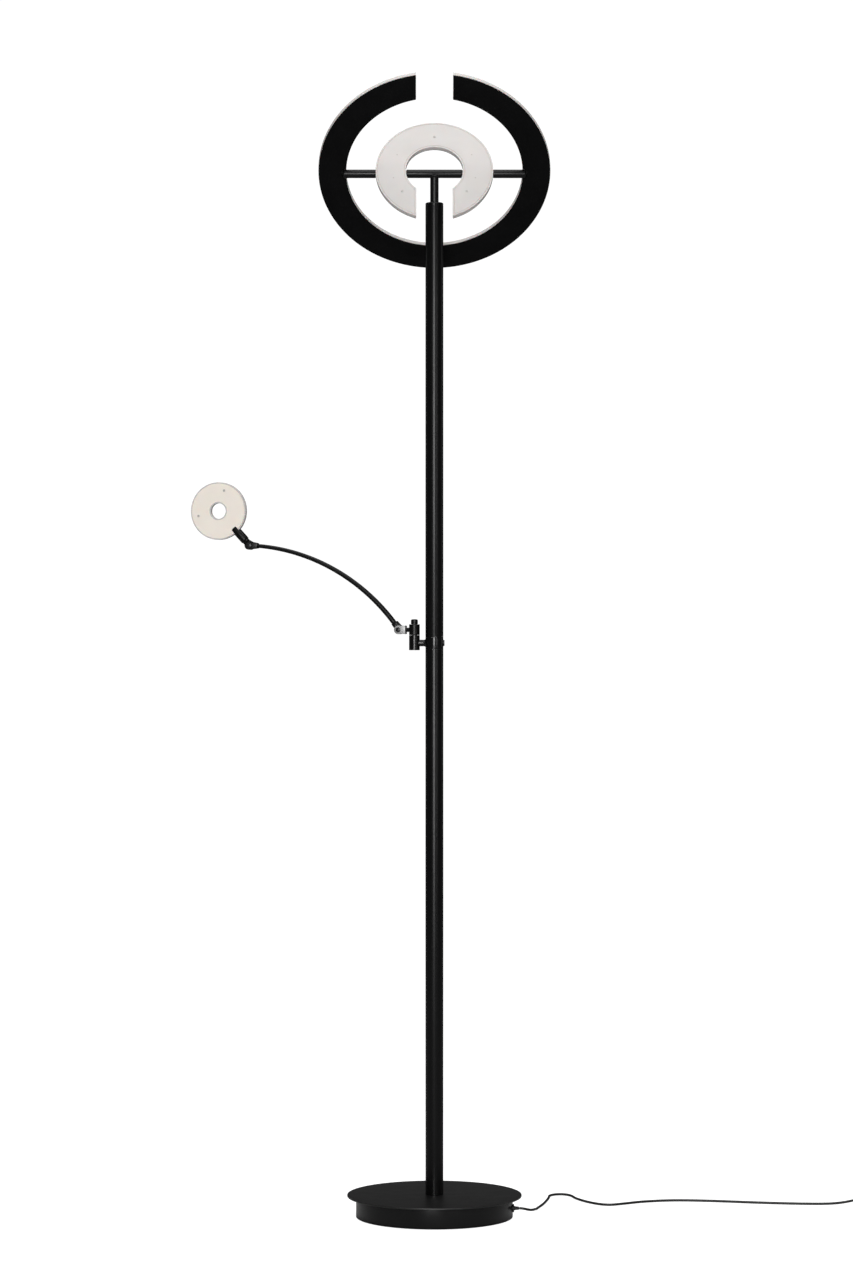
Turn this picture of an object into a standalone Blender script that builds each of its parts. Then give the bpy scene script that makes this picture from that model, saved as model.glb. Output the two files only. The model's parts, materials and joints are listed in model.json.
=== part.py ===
"""Torchiere floor lamp: two tilting split rings on a pole, and a ring-shaped reading head on a swing arm.

Metres, +Z up. The origin is the middle of the foot pad's underside. +X is to the right, and -Y is the front.
The ring heads are made level in their own frames, with the bar along X, the gap towards -Y and the
diffuser up, and two empties on the bar's axis tilt them. The arm is made in a frame whose X points outwards
and whose Y is the axis of its knuckles.
"""
import math

import bmesh
import bpy
from mathutils import Matrix, Vector

# Fits
GAP = 0.0003              # between faces that touch
RUNNING = 0.0003          # between a shaft and its bore, on the radius
SCREW_PLAY = 0.0003       # around a screw in its hole, on the radius

# Facets round a full turn
FINE = 48
MEDIUM = 24
COARSE = 12

# Base
PAD_RADIUS = 0.118
PAD_THICKNESS = 0.0015
COVER_THICKNESS = 0.002
COVER_PLAY = 0.0005       # between the cover's edge and the drum
DRUM_RADIUS = 0.1235
DRUM_WALL = 0.0015
DRUM_LIFT = 0.0005        # from the pad's top to the drum's lower edge
DRUM_HEIGHT = 0.0307
DRUM_FLANGE = 0.012       # width of the flange welded under the top plate
PLATE_RADIUS = 0.1375
PLATE_THICKNESS = 0.0025
PLATE_CHAMFER = 0.0004
BALLAST_PLAY = 0.005      # between the ballast and the drum, room for the gland's nut
BALLAST_THICKNESS = 0.020
DRIVER_SIZE = (0.104, 0.038, 0.0205)
DRIVER_Y = 0.053
DRIVER_PLAY = 0.003
TERMINAL_SIZE = (0.020, 0.034, 0.0055)
TERMINAL_X = 0.088
COVER_SCREW_CIRCLE = 0.096
COVER_SCREW_HEAD = 0.003
COVER_SCREW_SHANK = 0.0015
COVER_SCREW_LENGTH = 0.010
NIPPLE_RADIUS = 0.005
NIPPLE_BORE = 0.0034
NUT_RADIUS = 0.0098       # over its corners
NUT_THICKNESS = 0.006
COUNTERBORE_DEPTH = 0.009
NIPPLE_ABOVE_PLATE = 0.018
FOOT_BUSH_HEIGHT = 0.020

# Cord gland
GLAND_HEIGHT = 0.0155
GLAND_ANGLE = math.radians(-5)
GLAND_NECK = 0.004
GLAND_FLANGE = 0.0065
GLAND_FLANGE_THICKNESS = 0.002
GLAND_NUT_THICKNESS = 0.0015
GLAND_NOSE_LENGTH = 0.008
GLAND_NOSE_START = 0.0032
GLAND_NOSE_END = 0.0025

# Pole
POLE_RADIUS = 0.0141
POLE_WALL = 0.0012
LOWER_POLE_LENGTH = 0.8586
COLLAR_HEIGHT = 0.019
UPPER_POLE_LENGTH = 0.679
COUPLER_WALL = 0.002
COUPLER_OVERLAP = 0.020   # into each tube
CAP_HEIGHT = 0.0047
CAP_ROUNDING = 0.0018
CAP_PLUG_DEPTH = 0.012
STEM_RADIUS = 0.0067
STEM_INSERT = 0.030       # below the cap's top
STEM_VISIBLE = 0.0457     # from the cap's top to the bar's axis
CABLE_RADIUS = 0.0025
CABLE_BORE = 0.0035

# Ring heads
BAR_RADIUS = 0.0067
AXLE_RADIUS = 0.004
AXLE_WALL = 0.0012
BUSH_WALL = 0.0008
RING_CLEARANCE = 0.0005   # between the ends of neighbouring sleeves
RING_GAP = 0.057          # width of the opening in each ring
RING_BELOW = 0.00125      # from the bar's axis to the plate's back face
RING_PLATE = 0.0015
PLATE_INSET = 0.0006
TRAY_WALL = 0.002
BOARD_RISE = 0.0008       # from the sleeve's top to the board
BOARD_THICKNESS = 0.0008
BOARD_TO_TRAY = 0.00075   # from the board to the underside of the tray's face
BOARD_INSET = 0.009       # from the tray's edge to the board
NOTCH_PLAY = 0.0004
OUTER_RADIUS = 0.183
OUTER_HOLE = 0.139
OUTER_SCREW_CIRCLE = 0.161
OUTER_TILT = math.radians(-48.2)
OUTER_SLEEVE_IN_BAND = 0.010
SLOT_PLAY = 0.00155       # round the sleeve
SLOT_END_PLAY = 0.003     # past the sleeve's end
SADDLE_HALF_WIDTH = 0.014
SADDLE_THICKNESS = 0.001
SADDLE_REACH = 0.011
INNER_RADIUS = 0.0925
INNER_HOLE = 0.045
INNER_SCREW_CIRCLE = 0.065
INNER_TILT = math.radians(61)
RING_SCREW_ANGLES = (math.radians(51), math.radians(180), math.radians(-51))
RING_SCREW_HEAD = 0.002
RING_SCREW_HEAD_HEIGHT = 0.0008
RING_SCREW_SHANK = 0.0011

# Swivel post on the collar
POST_OFFSET = 0.0315      # from the pole's axis
POST_RADIUS = 0.00845
POST_DROP = 0.0018        # from the collar's lower edge to the post's
POST_HEIGHT = 0.0237
STUB_RADIUS = 0.0052
SLEEVE_HEIGHT = 0.0168
SWIVEL_PIN_RADIUS = 0.004
SWIVEL_HEAD_RADIUS = 0.00545
SWIVEL_HEAD_HEIGHT = 0.0078
SWIVEL_DOME = 0.0012
COLLAR_SCREW_RADIUS = 0.005
COLLAR_SCREW_PROUD = 0.0018
COLLAR_SCREW_SHANK = 0.0025
SWING_REST = math.radians(165)

# Arm, in its own frame
KNUCKLE_RADIUS = 0.0069
KNUCKLE_WIDTH = 0.014
KNUCKLE_SCREW_SHANK = 0.002
KNUCKLE_SCREW_HEAD_HEIGHT = 0.0011
LOWER_SCREW_HEAD = 0.0039
UPPER_SCREW_HEAD = 0.0046
HUB_REACH = 0.0113
LUG_REACH = 0.014
LUG_HALF_WIDTH = 0.0045
LUG_STEP = 0.0002         # how far the block stands back from the half-barrel's faces
BLOCK_CLEARANCE = 0.0005
SHORT_ROD_RADIUS = 0.0034
SHORT_ROD_RISE = 0.0081   # from the sleeve's lower edge
LOWER_KNUCKLE_X = 0.0248
ARM_CHORD = 0.2819
ARM_CHORD_ANGLE = math.radians(28.6)
ARM_BEND_RADIUS = 0.319
ARM_LOWER_RADIUS = 0.00415
ARM_UPPER_RADIUS = 0.0032
ARM_SECTIONS = 22

# Reading head, in a frame whose X runs out along the holder
HOLDER_ANGLE = math.radians(47)
NECK_RADIUS = 0.00575
NECK_END = 0.0104
CLAMP_RADIUS = 0.0068
CLAMP_END = 0.038
CLAMP_CHAMFER = 0.0008
HOLDER_PIN_RADIUS = 0.0025
HOLDER_PIN_INSET = 0.0008  # from the neck block's start to the pin
HOLDER_PIN_END = 0.022
HEAD_RADIUS = 0.046
HEAD_HOLE = 0.0125
HEAD_PLATE = 0.0015
HEAD_THICKNESS = 0.0095
HEAD_TRAY_WALL = 0.0015
HEAD_BOARD_INSET = 0.005
HEAD_SCREW_CIRCLE = 0.034
HEAD_SCREW_HEAD = 0.002
HEAD_CENTRE = 0.0757

# Cord and plug
CORD_RADIUS = 0.002
CORD_STEP = 0.012         # between the points of the tube
CORD_LEAD = 0.005         # straight out of the gland
CORD_ROUTE = (
    (0.1465, -0.0098, 0.0130),
    (0.1520, -0.0040, 0.0113),
    (0.1558, 0.0050, 0.0102),
    (0.1582, 0.0160, 0.0090),
    (0.1600, 0.0300, 0.0070),
    (0.1622, 0.0480, 0.0045),
    (0.1650, 0.0680, 0.0026),
    (0.1700, 0.0900, 0.0020),
    (0.1755, 0.1110, 0.0020),
    (0.1830, 0.1500, 0.0020),
    (0.1868, 0.1765, 0.0020),
    (0.1885, 0.1930, 0.0020),
    (0.1990, 0.2060, 0.0020),
    (0.2130, 0.2060, 0.0020),
    (0.2235, 0.1930, 0.0020),
    (0.2290, 0.1700, 0.0020),
    (0.2395, 0.1450, 0.0020),
    (0.2530, 0.1230, 0.0020),
    (0.2680, 0.1070, 0.0020),
    (0.2830, 0.1020, 0.0020),
    (0.3040, 0.1130, 0.0020),
    (0.3400, 0.1340, 0.0020),
    (0.3900, 0.1460, 0.0020),
    (0.4500, 0.1400, 0.0020),
    (0.5200, 0.1240, 0.0020),
    (0.5900, 0.1130, 0.0020),
    (0.6350, 0.1120, 0.0022),
    (0.6600, 0.1140, 0.0042),
    (0.6800, 0.1165, 0.0078),
)
COIL_CENTRE = (0.720, 0.100)
COIL_MEAN_RADIUS = 0.0215
COIL_HALF_WIDTH = 0.006
COIL_HEIGHT = 0.012
PLUG_LENGTH = 0.036
PLUG_TAIL_RADIUS = 0.003
PLUG_HALF_WIDTH = 0.009
PLUG_HALF_HEIGHT = 0.0065
PLUG_PIN_RADIUS = 0.002
PLUG_PIN_LENGTH = 0.019
PLUG_PIN_SPREAD = 0.0055

# Heights worked out from the sizes above
COVER_BOTTOM = PAD_THICKNESS + GAP
COVER_TOP = COVER_BOTTOM + COVER_THICKNESS
BALLAST_BOTTOM = COVER_TOP + GAP
BALLAST_TOP = BALLAST_BOTTOM + BALLAST_THICKNESS
DRUM_BOTTOM = PAD_THICKNESS + DRUM_LIFT
DRUM_TOP = DRUM_BOTTOM + DRUM_HEIGHT
PLATE_BOTTOM = DRUM_TOP + GAP
PLATE_TOP = PLATE_BOTTOM + PLATE_THICKNESS
LOWER_POLE_BOTTOM = PLATE_TOP + GAP
LOWER_POLE_TOP = LOWER_POLE_BOTTOM + LOWER_POLE_LENGTH
COLLAR_BOTTOM = LOWER_POLE_TOP + GAP
COLLAR_TOP = COLLAR_BOTTOM + COLLAR_HEIGHT
UPPER_POLE_BOTTOM = COLLAR_TOP + GAP
UPPER_POLE_TOP = UPPER_POLE_BOTTOM + UPPER_POLE_LENGTH
CAP_BOTTOM = UPPER_POLE_TOP + GAP
CAP_TOP = CAP_BOTTOM + CAP_HEIGHT
BAR_HEIGHT = CAP_TOP + STEM_VISIBLE
POST_BOTTOM = COLLAR_BOTTOM - POST_DROP
POST_TOP = POST_BOTTOM + POST_HEIGHT
SLEEVE_BOTTOM = POST_TOP + GAP
SLEEVE_TOP = SLEEVE_BOTTOM + SLEEVE_HEIGHT
KNUCKLE_HEIGHT = SLEEVE_BOTTOM + SHORT_ROD_RISE

# Radii and lengths worked out from the sizes above
POLE_BORE = POLE_RADIUS - POLE_WALL
DRUM_BORE = DRUM_RADIUS - DRUM_WALL
BALLAST_RADIUS = DRUM_BORE - BALLAST_PLAY
AXLE_BORE = AXLE_RADIUS + RUNNING
BUSH_RADIUS = AXLE_BORE + BUSH_WALL
TRAY_BOTTOM = RING_BELOW + RING_PLATE + GAP
TRAY_TOP = BAR_RADIUS + BOARD_RISE + BOARD_THICKNESS + BOARD_TO_TRAY + TRAY_WALL
SLOT_HALF_WIDTH = BAR_RADIUS + SLOT_PLAY
INNER_SLEEVE_START = INNER_HOLE - RING_CLEARANCE / 2
INNER_SLEEVE_END = INNER_RADIUS - RING_CLEARANCE
OUTER_SLEEVE_START = INNER_SLEEVE_END + RING_CLEARANCE
OUTER_SLEEVE_END = OUTER_HOLE + OUTER_SLEEVE_IN_BAND
BAR_HALF_LENGTH = INNER_SLEEVE_START - RING_CLEARANCE
AXLE_HALF_LENGTH = OUTER_SLEEVE_END - 0.005
BLOCK_START = KNUCKLE_RADIUS + BLOCK_CLEARANCE
HOLDER_PIN_START = BLOCK_START + HOLDER_PIN_INSET
HALF_SPLIT = GAP / 2

# Colour, roughness and metallic value of each finish
FINISHES = {
    "black_paint": ((0.012, 0.012, 0.012), 0.38, 0.0),
    "satin_grey": ((0.22, 0.22, 0.22), 0.35, 0.8),
    "steel": ((0.45, 0.45, 0.46), 0.35, 1.0),
    "cast_iron": ((0.08, 0.08, 0.08), 0.7, 0.6),
    "diffuser": ((0.66, 0.59, 0.56), 0.45, 0.0),
    "board": ((0.75, 0.75, 0.72), 0.5, 0.0),
    "black_plastic": ((0.02, 0.02, 0.02), 0.5, 0.0),
    "white_plastic": ((0.7, 0.7, 0.68), 0.45, 0.0),
    "brass": ((0.6, 0.42, 0.16), 0.35, 1.0),
    "rubber": ((0.015, 0.015, 0.015), 0.8, 0.0),
}

# Parts with several cuts through one face, where the EXACT solver leaves open edges
MANY_CUTS = ("arm_collar", "tee_stem", "ballast", "outer_ring_plate", "outer_led_board", "outer_ring_diffuser",
             "inner_ring_plate", "inner_led_board", "inner_ring_diffuser", "reading_back_plate",
             "reading_led_board", "reading_diffuser")


# Scene helpers

def clear_scene():
    """Remove whatever the file holds."""
    for obj in list(bpy.data.objects):
        bpy.data.objects.remove(obj)


def own_material(name, finish):
    """Make one part's own Principled material from a named finish."""
    colour, roughness, metallic = FINISHES[finish]
    material = bpy.data.materials.new(name + "_finish")
    material.use_nodes = True
    shader = material.node_tree.nodes["Principled BSDF"]
    shader.inputs["Base Color"].default_value = (*colour, 1.0)
    shader.inputs["Roughness"].default_value = roughness
    shader.inputs["Metallic"].default_value = metallic
    return material


def mesh_object(name, shape, parent=None):
    """Turn a bmesh into an object, smooth where its faces meet at a shallow angle."""
    mesh = bpy.data.meshes.new(name)
    shape.to_mesh(mesh)
    shape.free()
    mesh.shade_smooth()
    mesh.set_sharp_from_angle(angle=math.radians(35))
    obj = bpy.data.objects.new(name, mesh)
    bpy.context.scene.collection.objects.link(obj)
    obj.parent = parent
    return obj


def part(name, shape, finish, parent=None):
    """Make one sub-part of the lamp."""
    obj = mesh_object(name, shape, parent)
    obj.data.materials.append(own_material(name, finish))
    return obj


def combine(obj, shape, operation):
    """Add a Boolean modifier whose other shape is a hidden helper."""
    helper = mesh_object(f"{obj.name}_{operation.lower()}_{len(obj.modifiers)}", shape, obj.parent)
    helper.hide_render = True
    helper.display_type = "WIRE"
    modifier = obj.modifiers.new(helper.name, "BOOLEAN")
    modifier.operation = operation
    modifier.solver = "MANIFOLD" if obj.name in MANY_CUTS else "EXACT"
    modifier.object = helper


def cut(obj, shape):
    """Take a shape away from a part."""
    combine(obj, shape, "DIFFERENCE")


def weld(obj, shape):
    """Join a shape to a part."""
    combine(obj, shape, "UNION")


def axis_empty(name, parent, location, rotation=(0.0, 0.0, 0.0)):
    """Make an empty that stands on a joint's axis."""
    empty = bpy.data.objects.new(name, None)
    empty.empty_display_size = 0.02
    empty.location = location
    empty.rotation_euler = rotation
    empty.parent = parent
    bpy.context.scene.collection.objects.link(empty)
    return empty


# Shapes

def turned(profile, facets):
    """Turn a closed outline of (radius, height) points about Z. A radius of 0 is one point on the axis."""
    shape = bmesh.new()
    rings = []
    for radius, height in profile:
        if radius == 0:
            rings.append([shape.verts.new((0.0, 0.0, height))])
            continue
        steps = [math.tau * k / facets for k in range(facets)]
        rings.append([shape.verts.new((radius * math.cos(t), radius * math.sin(t), height)) for t in steps])
    for ring, following in zip(rings, rings[1:] + rings[:1]):
        for k in range(facets):
            after = (k + 1) % facets
            if len(ring) == 1 and len(following) == 1:
                break
            if len(ring) == 1:
                shape.faces.new((ring[0], following[k], following[after]))
            elif len(following) == 1:
                shape.faces.new((ring[k], ring[after], following[0]))
            else:
                shape.faces.new((ring[k], ring[after], following[after], following[k]))
    bmesh.ops.recalc_face_normals(shape, faces=shape.faces)
    return shape


def disc(radius, bottom, top, facets):
    """A plain cylinder on the Z axis."""
    return turned([(0, bottom), (radius, bottom), (radius, top), (0, top)], facets)


def tube(radius, bore, bottom, top, facets):
    """A plain tube on the Z axis."""
    return turned([(bore, bottom), (radius, bottom), (radius, top), (bore, top)], facets)


def prism(outline, bottom, top):
    """Extrude a closed outline of (x, y) points along Z."""
    shape = bmesh.new()
    lower = [shape.verts.new((x, y, bottom)) for x, y in outline]
    upper = [shape.verts.new((x, y, top)) for x, y in outline]
    shape.faces.new(list(reversed(lower)))
    shape.faces.new(upper)
    for k in range(len(outline)):
        after = (k + 1) % len(outline)
        shape.faces.new((lower[k], lower[after], upper[after], upper[k]))
    bmesh.ops.recalc_face_normals(shape, faces=shape.faces)
    return shape


def box(low, high):
    """A box between two corners."""
    outline = [(low[0], low[1]), (high[0], low[1]), (high[0], high[1]), (low[0], high[1])]
    return prism(outline, low[2], high[2])


def moved(shape, matrix):
    """Place a shape by a matrix."""
    bmesh.ops.transform(shape, matrix=matrix, verts=shape.verts)
    return shape


def shifted(shape, x=0.0, y=0.0, z=0.0):
    """Move a shape without turning it."""
    return moved(shape, Matrix.Translation((x, y, z)))


def half_step(shape, facets):
    """Turn a shape about Z by half a facet, so that its edges don't meet those of its neighbour."""
    return moved(shape, Matrix.Rotation(math.pi / facets, 4, "Z"))


def along_x(shape):
    """Turn a shape made along +Z so that it runs along +X."""
    return moved(shape, Matrix.Rotation(math.radians(90), 4, "Y"))


def along_y(shape):
    """Turn a shape made along +Z so that it runs along +Y."""
    return moved(shape, Matrix.Rotation(math.radians(-90), 4, "X"))


def upright(shape):
    """Stand a shape up, so that its Y becomes Z and its Z becomes -Y."""
    return moved(shape, Matrix.Rotation(math.radians(90), 4, "X"))


def arc(radius, start, end, pieces):
    """Points on a circle round the origin."""
    steps = [start + (end - start) * k / pieces for k in range(pieces + 1)]
    return [(radius * math.cos(t), radius * math.sin(t)) for t in steps]


def split_ring(radius, hole, half_gap):
    """The outline of a ring with a straight-sided gap towards -Y."""
    quarter = math.radians(90)
    outer = math.asin(half_gap / radius)
    inner = math.asin(half_gap / hole)
    points = arc(radius, outer - quarter, 3 * quarter - outer, FINE)
    points += arc(hole, 3 * quarter - inner, inner - quarter, FINE)
    return points


def teardrop(radius, reach, half_width, angle):
    """The outline of a knuckle: a disc with a lug that reaches out at an angle."""
    edge = math.radians(60)
    points = arc(radius, edge, math.tau - edge, COARSE + 4)
    points += [(reach, -half_width), (reach, half_width)]
    turn = Matrix.Rotation(angle, 2)
    return [tuple(turn @ Vector(point)) for point in points]


def smooth_route(points, step):
    """Read points about one step apart from a Catmull-Rom curve through the route's own points."""
    route = [Vector(point) for point in points]
    ends = [2 * route[0] - route[1]] + route + [2 * route[-1] - route[-2]]
    fine = []
    for before, start, end, after in zip(ends, ends[1:], ends[2:], ends[3:]):
        for k in range(40):
            t = k / 40
            fine.append(0.5 * (2 * start + (end - before) * t
                               + (2 * before - 5 * start + 4 * end - after) * t ** 2
                               + (3 * start - before - 3 * end + after) * t ** 3))
    fine.append(route[-1])
    total = sum((b - a).length for a, b in zip(fine, fine[1:]))
    spacing = total / round(total / step)
    chosen = [fine[0]]
    travelled = 0.0
    for a, b in zip(fine, fine[1:]):
        travelled += (b - a).length
        if travelled >= spacing * len(chosen) and len(chosen) < round(total / step):
            chosen.append(b)
    chosen.append(fine[-1])
    return chosen


# Base

def foot_pad():
    """The thin pad that the lamp stands on."""
    part("foot_pad", disc(PAD_RADIUS, 0.0, PAD_THICKNESS, FINE), "rubber")


def cover_screw_places():
    """The three places of the screws that hold the bottom cover."""
    angles = [math.radians(30 + 120 * k) for k in range(3)]
    return [(COVER_SCREW_CIRCLE * math.cos(t), COVER_SCREW_CIRCLE * math.sin(t)) for t in angles]


def bottom_cover():
    """The steel disc that closes the drum from below, and its three countersunk screws."""
    cover = part("bottom_cover", disc(DRUM_BORE - COVER_PLAY, COVER_BOTTOM, COVER_TOP, FINE), "steel")
    head = COVER_SCREW_HEAD
    shank = COVER_SCREW_SHANK
    hole = [(0, COVER_BOTTOM - GAP), (head + 2 * SCREW_PLAY, COVER_BOTTOM - GAP),
            (shank + SCREW_PLAY, COVER_TOP), (shank + SCREW_PLAY, COVER_TOP + GAP), (0, COVER_TOP + GAP)]
    tip = COVER_BOTTOM + COVER_SCREW_LENGTH
    screw = [(0, COVER_BOTTOM), (head, COVER_BOTTOM), (shank, COVER_TOP), (shank, tip), (0, tip)]
    for number, (x, y) in enumerate(cover_screw_places(), 1):
        cut(cover, shifted(turned(hole, COARSE), x, y))
        part(f"bottom_cover_screw_{number}", shifted(turned(screw, COARSE), x, y), "steel")


def ballast():
    """The iron weight, with a pocket for the driver, a seat for the nut and three screw holes."""
    weight = part("ballast", disc(BALLAST_RADIUS, BALLAST_BOTTOM, BALLAST_TOP, FINE), "cast_iron")
    below = BALLAST_BOTTOM - GAP
    above = BALLAST_TOP + GAP
    half_x = DRIVER_SIZE[0] / 2 + DRIVER_PLAY
    half_y = DRIVER_SIZE[1] / 2 + DRIVER_PLAY
    cut(weight, box((-half_x, DRIVER_Y - half_y, below), (half_x, DRIVER_Y + half_y, above)))
    seat = BALLAST_BOTTOM + COUNTERBORE_DEPTH
    nut = NUT_RADIUS + 2 * SCREW_PLAY
    bore = NIPPLE_RADIUS + SCREW_PLAY
    stepped = [(0, below), (nut, below), (nut, seat), (bore, seat), (bore, above), (0, above)]
    cut(weight, turned(stepped, MEDIUM))
    depth = COVER_BOTTOM + COVER_SCREW_LENGTH + GAP
    for x, y in cover_screw_places():
        cut(weight, shifted(disc(COVER_SCREW_SHANK + SCREW_PLAY, below, depth, COARSE), x, y))


def base_drum():
    """The drum wall, with its welded flange at the top and a hole for the gland."""
    flange = DRUM_BORE - DRUM_FLANGE
    profile = [(DRUM_BORE, DRUM_BOTTOM), (DRUM_RADIUS, DRUM_BOTTOM), (DRUM_RADIUS, DRUM_TOP),
               (flange, DRUM_TOP), (flange, DRUM_TOP - DRUM_WALL), (DRUM_BORE, DRUM_TOP - DRUM_WALL)]
    drum = part("base_drum", turned(profile, FINE), "black_paint")
    hole = along_x(disc(GLAND_NECK + SCREW_PLAY, DRUM_BORE - DRUM_WALL, DRUM_RADIUS + DRUM_WALL, COARSE))
    cut(drum, moved(hole, gland_place()))


def base_top_plate():
    """The round plate that overhangs the drum."""
    edge = PLATE_RADIUS - PLATE_CHAMFER
    bore = NIPPLE_RADIUS + SCREW_PLAY
    profile = [(bore, PLATE_BOTTOM), (edge, PLATE_BOTTOM), (PLATE_RADIUS, PLATE_BOTTOM + PLATE_CHAMFER),
               (PLATE_RADIUS, PLATE_TOP - PLATE_CHAMFER), (edge, PLATE_TOP), (bore, PLATE_TOP)]
    part("base_top_plate", turned(profile, FINE), "black_paint")


def driver_and_terminal():
    """The LED driver in the ballast's pocket, and the mains terminal block."""
    half = [size / 2 for size in DRIVER_SIZE]
    bottom = COVER_TOP + GAP
    low = (-half[0], DRIVER_Y - half[1], bottom)
    high = (half[0], DRIVER_Y + half[1], bottom + DRIVER_SIZE[2])
    part("led_driver", box(low, high), "white_plastic")
    half = [size / 2 for size in TERMINAL_SIZE]
    bottom = BALLAST_TOP + GAP
    low = (TERMINAL_X - half[0], -half[1], bottom)
    high = (TERMINAL_X + half[0], half[1], bottom + TERMINAL_SIZE[2])
    block = part("terminal_block", box(low, high), "white_plastic")
    for k in range(3):
        y = (k - 1) * TERMINAL_SIZE[1] / 3
        well = disc(0.003, bottom + TERMINAL_SIZE[2] / 2, bottom + 2 * TERMINAL_SIZE[2], COARSE)
        cut(block, shifted(well, TERMINAL_X, y))


def nipple_nut_and_bush():
    """The threaded nipple, its nut below the ballast and the bush that holds the pole's foot."""
    foot = BALLAST_BOTTOM + GAP
    top = PLATE_TOP + NIPPLE_ABOVE_PLATE
    part("pole_nipple", tube(NIPPLE_RADIUS, NIPPLE_BORE, foot, top, MEDIUM), "steel")
    seat = BALLAST_BOTTOM + COUNTERBORE_DEPTH - GAP
    bore = NIPPLE_RADIUS + SCREW_PLAY
    nut = part("pole_nut", disc(NUT_RADIUS, seat - NUT_THICKNESS, seat, 6), "steel")
    cut(nut, disc(bore, seat - 2 * NUT_THICKNESS, seat + NUT_THICKNESS, MEDIUM))
    bush = tube(POLE_BORE - GAP, bore, LOWER_POLE_BOTTOM, LOWER_POLE_BOTTOM + FOOT_BUSH_HEIGHT, MEDIUM)
    part("pole_foot_bush", bush, "steel")


def gland_place():
    """The gland's frame: X outwards through the drum's wall."""
    return Matrix.Translation((0.0, 0.0, GLAND_HEIGHT)) @ Matrix.Rotation(GLAND_ANGLE, 4, "Z")


def gland_end():
    """How far the gland's nose reaches from the pole's axis."""
    return DRUM_RADIUS + GAP + GLAND_FLANGE_THICKNESS + GLAND_NOSE_LENGTH


def cord_gland():
    """The cord's gland: a nut inside the wall, a neck through it, and a flange and nose outside."""
    sag = DRUM_BORE - math.sqrt(DRUM_BORE ** 2 - GLAND_FLANGE ** 2)
    inside = DRUM_BORE - sag - 2 * GAP
    outside = DRUM_RADIUS + GAP
    flange_end = outside + GLAND_FLANGE_THICKNESS
    end = gland_end()
    profile = [(0, inside - GLAND_NUT_THICKNESS), (GLAND_FLANGE, inside - GLAND_NUT_THICKNESS),
               (GLAND_FLANGE, inside), (GLAND_NECK, inside), (GLAND_NECK, outside),
               (GLAND_FLANGE, outside), (GLAND_FLANGE, flange_end), (GLAND_NOSE_START, flange_end),
               (GLAND_NOSE_END, end), (0, end)]
    part("cord_gland", moved(along_x(turned(profile, COARSE)), gland_place()), "black_plastic")


# Pole

def poles():
    """The lower and upper tubes, and the coupler that joins them inside the collar."""
    lower = tube(POLE_RADIUS, POLE_BORE, LOWER_POLE_BOTTOM, LOWER_POLE_TOP, MEDIUM)
    part("lower_pole", lower, "black_paint")
    upper = tube(POLE_RADIUS, POLE_BORE, UPPER_POLE_BOTTOM, UPPER_POLE_TOP, MEDIUM)
    part("upper_pole", upper, "black_paint")
    fitted = POLE_BORE - GAP
    bottom = COLLAR_BOTTOM - COUPLER_OVERLAP
    top = COLLAR_TOP + COUPLER_OVERLAP
    part("pole_coupler", tube(fitted, fitted - COUPLER_WALL, bottom, top, MEDIUM), "steel")


def pole_top_cap():
    """The rounded cap with its plug in the tube and a bore for the stem."""
    bore = STEM_RADIUS + GAP
    plug = POLE_BORE - GAP
    shoulder = POLE_RADIUS - CAP_ROUNDING
    profile = [(bore, CAP_BOTTOM - CAP_PLUG_DEPTH), (plug, CAP_BOTTOM - CAP_PLUG_DEPTH), (plug, CAP_BOTTOM),
               (POLE_RADIUS, CAP_BOTTOM)]
    for x, y in arc(CAP_ROUNDING, 0.0, math.radians(90), 4):
        profile.append((shoulder + x, CAP_TOP - CAP_ROUNDING + y))
    profile.append((bore, CAP_TOP))
    part("pole_top_cap", turned(profile, MEDIUM), "black_paint")


def tee_stem():
    """The stem and the bar's fixed middle, welded, with a bore for the axle and one for the cable."""
    stem = disc(STEM_RADIUS, CAP_TOP - STEM_INSERT, BAR_HEIGHT, MEDIUM)
    tee = part("tee_stem", stem, "black_paint")
    chamfer = BAR_RADIUS / 8
    profile = [(0, -BAR_HALF_LENGTH), (BAR_RADIUS - chamfer, -BAR_HALF_LENGTH),
               (BAR_RADIUS, chamfer - BAR_HALF_LENGTH), (BAR_RADIUS, BAR_HALF_LENGTH - chamfer),
               (BAR_RADIUS - chamfer, BAR_HALF_LENGTH), (0, BAR_HALF_LENGTH)]
    weld(tee, shifted(along_x(half_step(turned(profile, MEDIUM), MEDIUM)), z=BAR_HEIGHT))
    bore = disc(AXLE_BORE, -2 * BAR_HALF_LENGTH, 2 * BAR_HALF_LENGTH, MEDIUM)
    cut(tee, shifted(along_x(bore), z=BAR_HEIGHT))
    cut(tee, disc(CABLE_BORE, CAP_TOP - 2 * STEM_INSERT, BAR_HEIGHT - AXLE_RADIUS / 2, COARSE))


def axle_and_cable():
    """The hollow axle that both rings turn on, and the cable that runs up the pole."""
    axle = tube(AXLE_RADIUS, AXLE_RADIUS - AXLE_WALL, -AXLE_HALF_LENGTH, AXLE_HALF_LENGTH, MEDIUM)
    part("ring_axle", shifted(along_x(axle), z=BAR_HEIGHT), "steel")
    bottom = BALLAST_BOTTOM + 2 * GAP
    top = BAR_HEIGHT - AXLE_RADIUS - CABLE_RADIUS
    part("pole_cable", disc(CABLE_RADIUS, bottom, top, COARSE), "black_plastic")


# Ring heads

def ring_screw_places(circle):
    """Where a ring's three diffuser screws stand, measured from the gap."""
    return [(circle * math.sin(t), -circle * math.cos(t)) for t in RING_SCREW_ANGLES]


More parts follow.
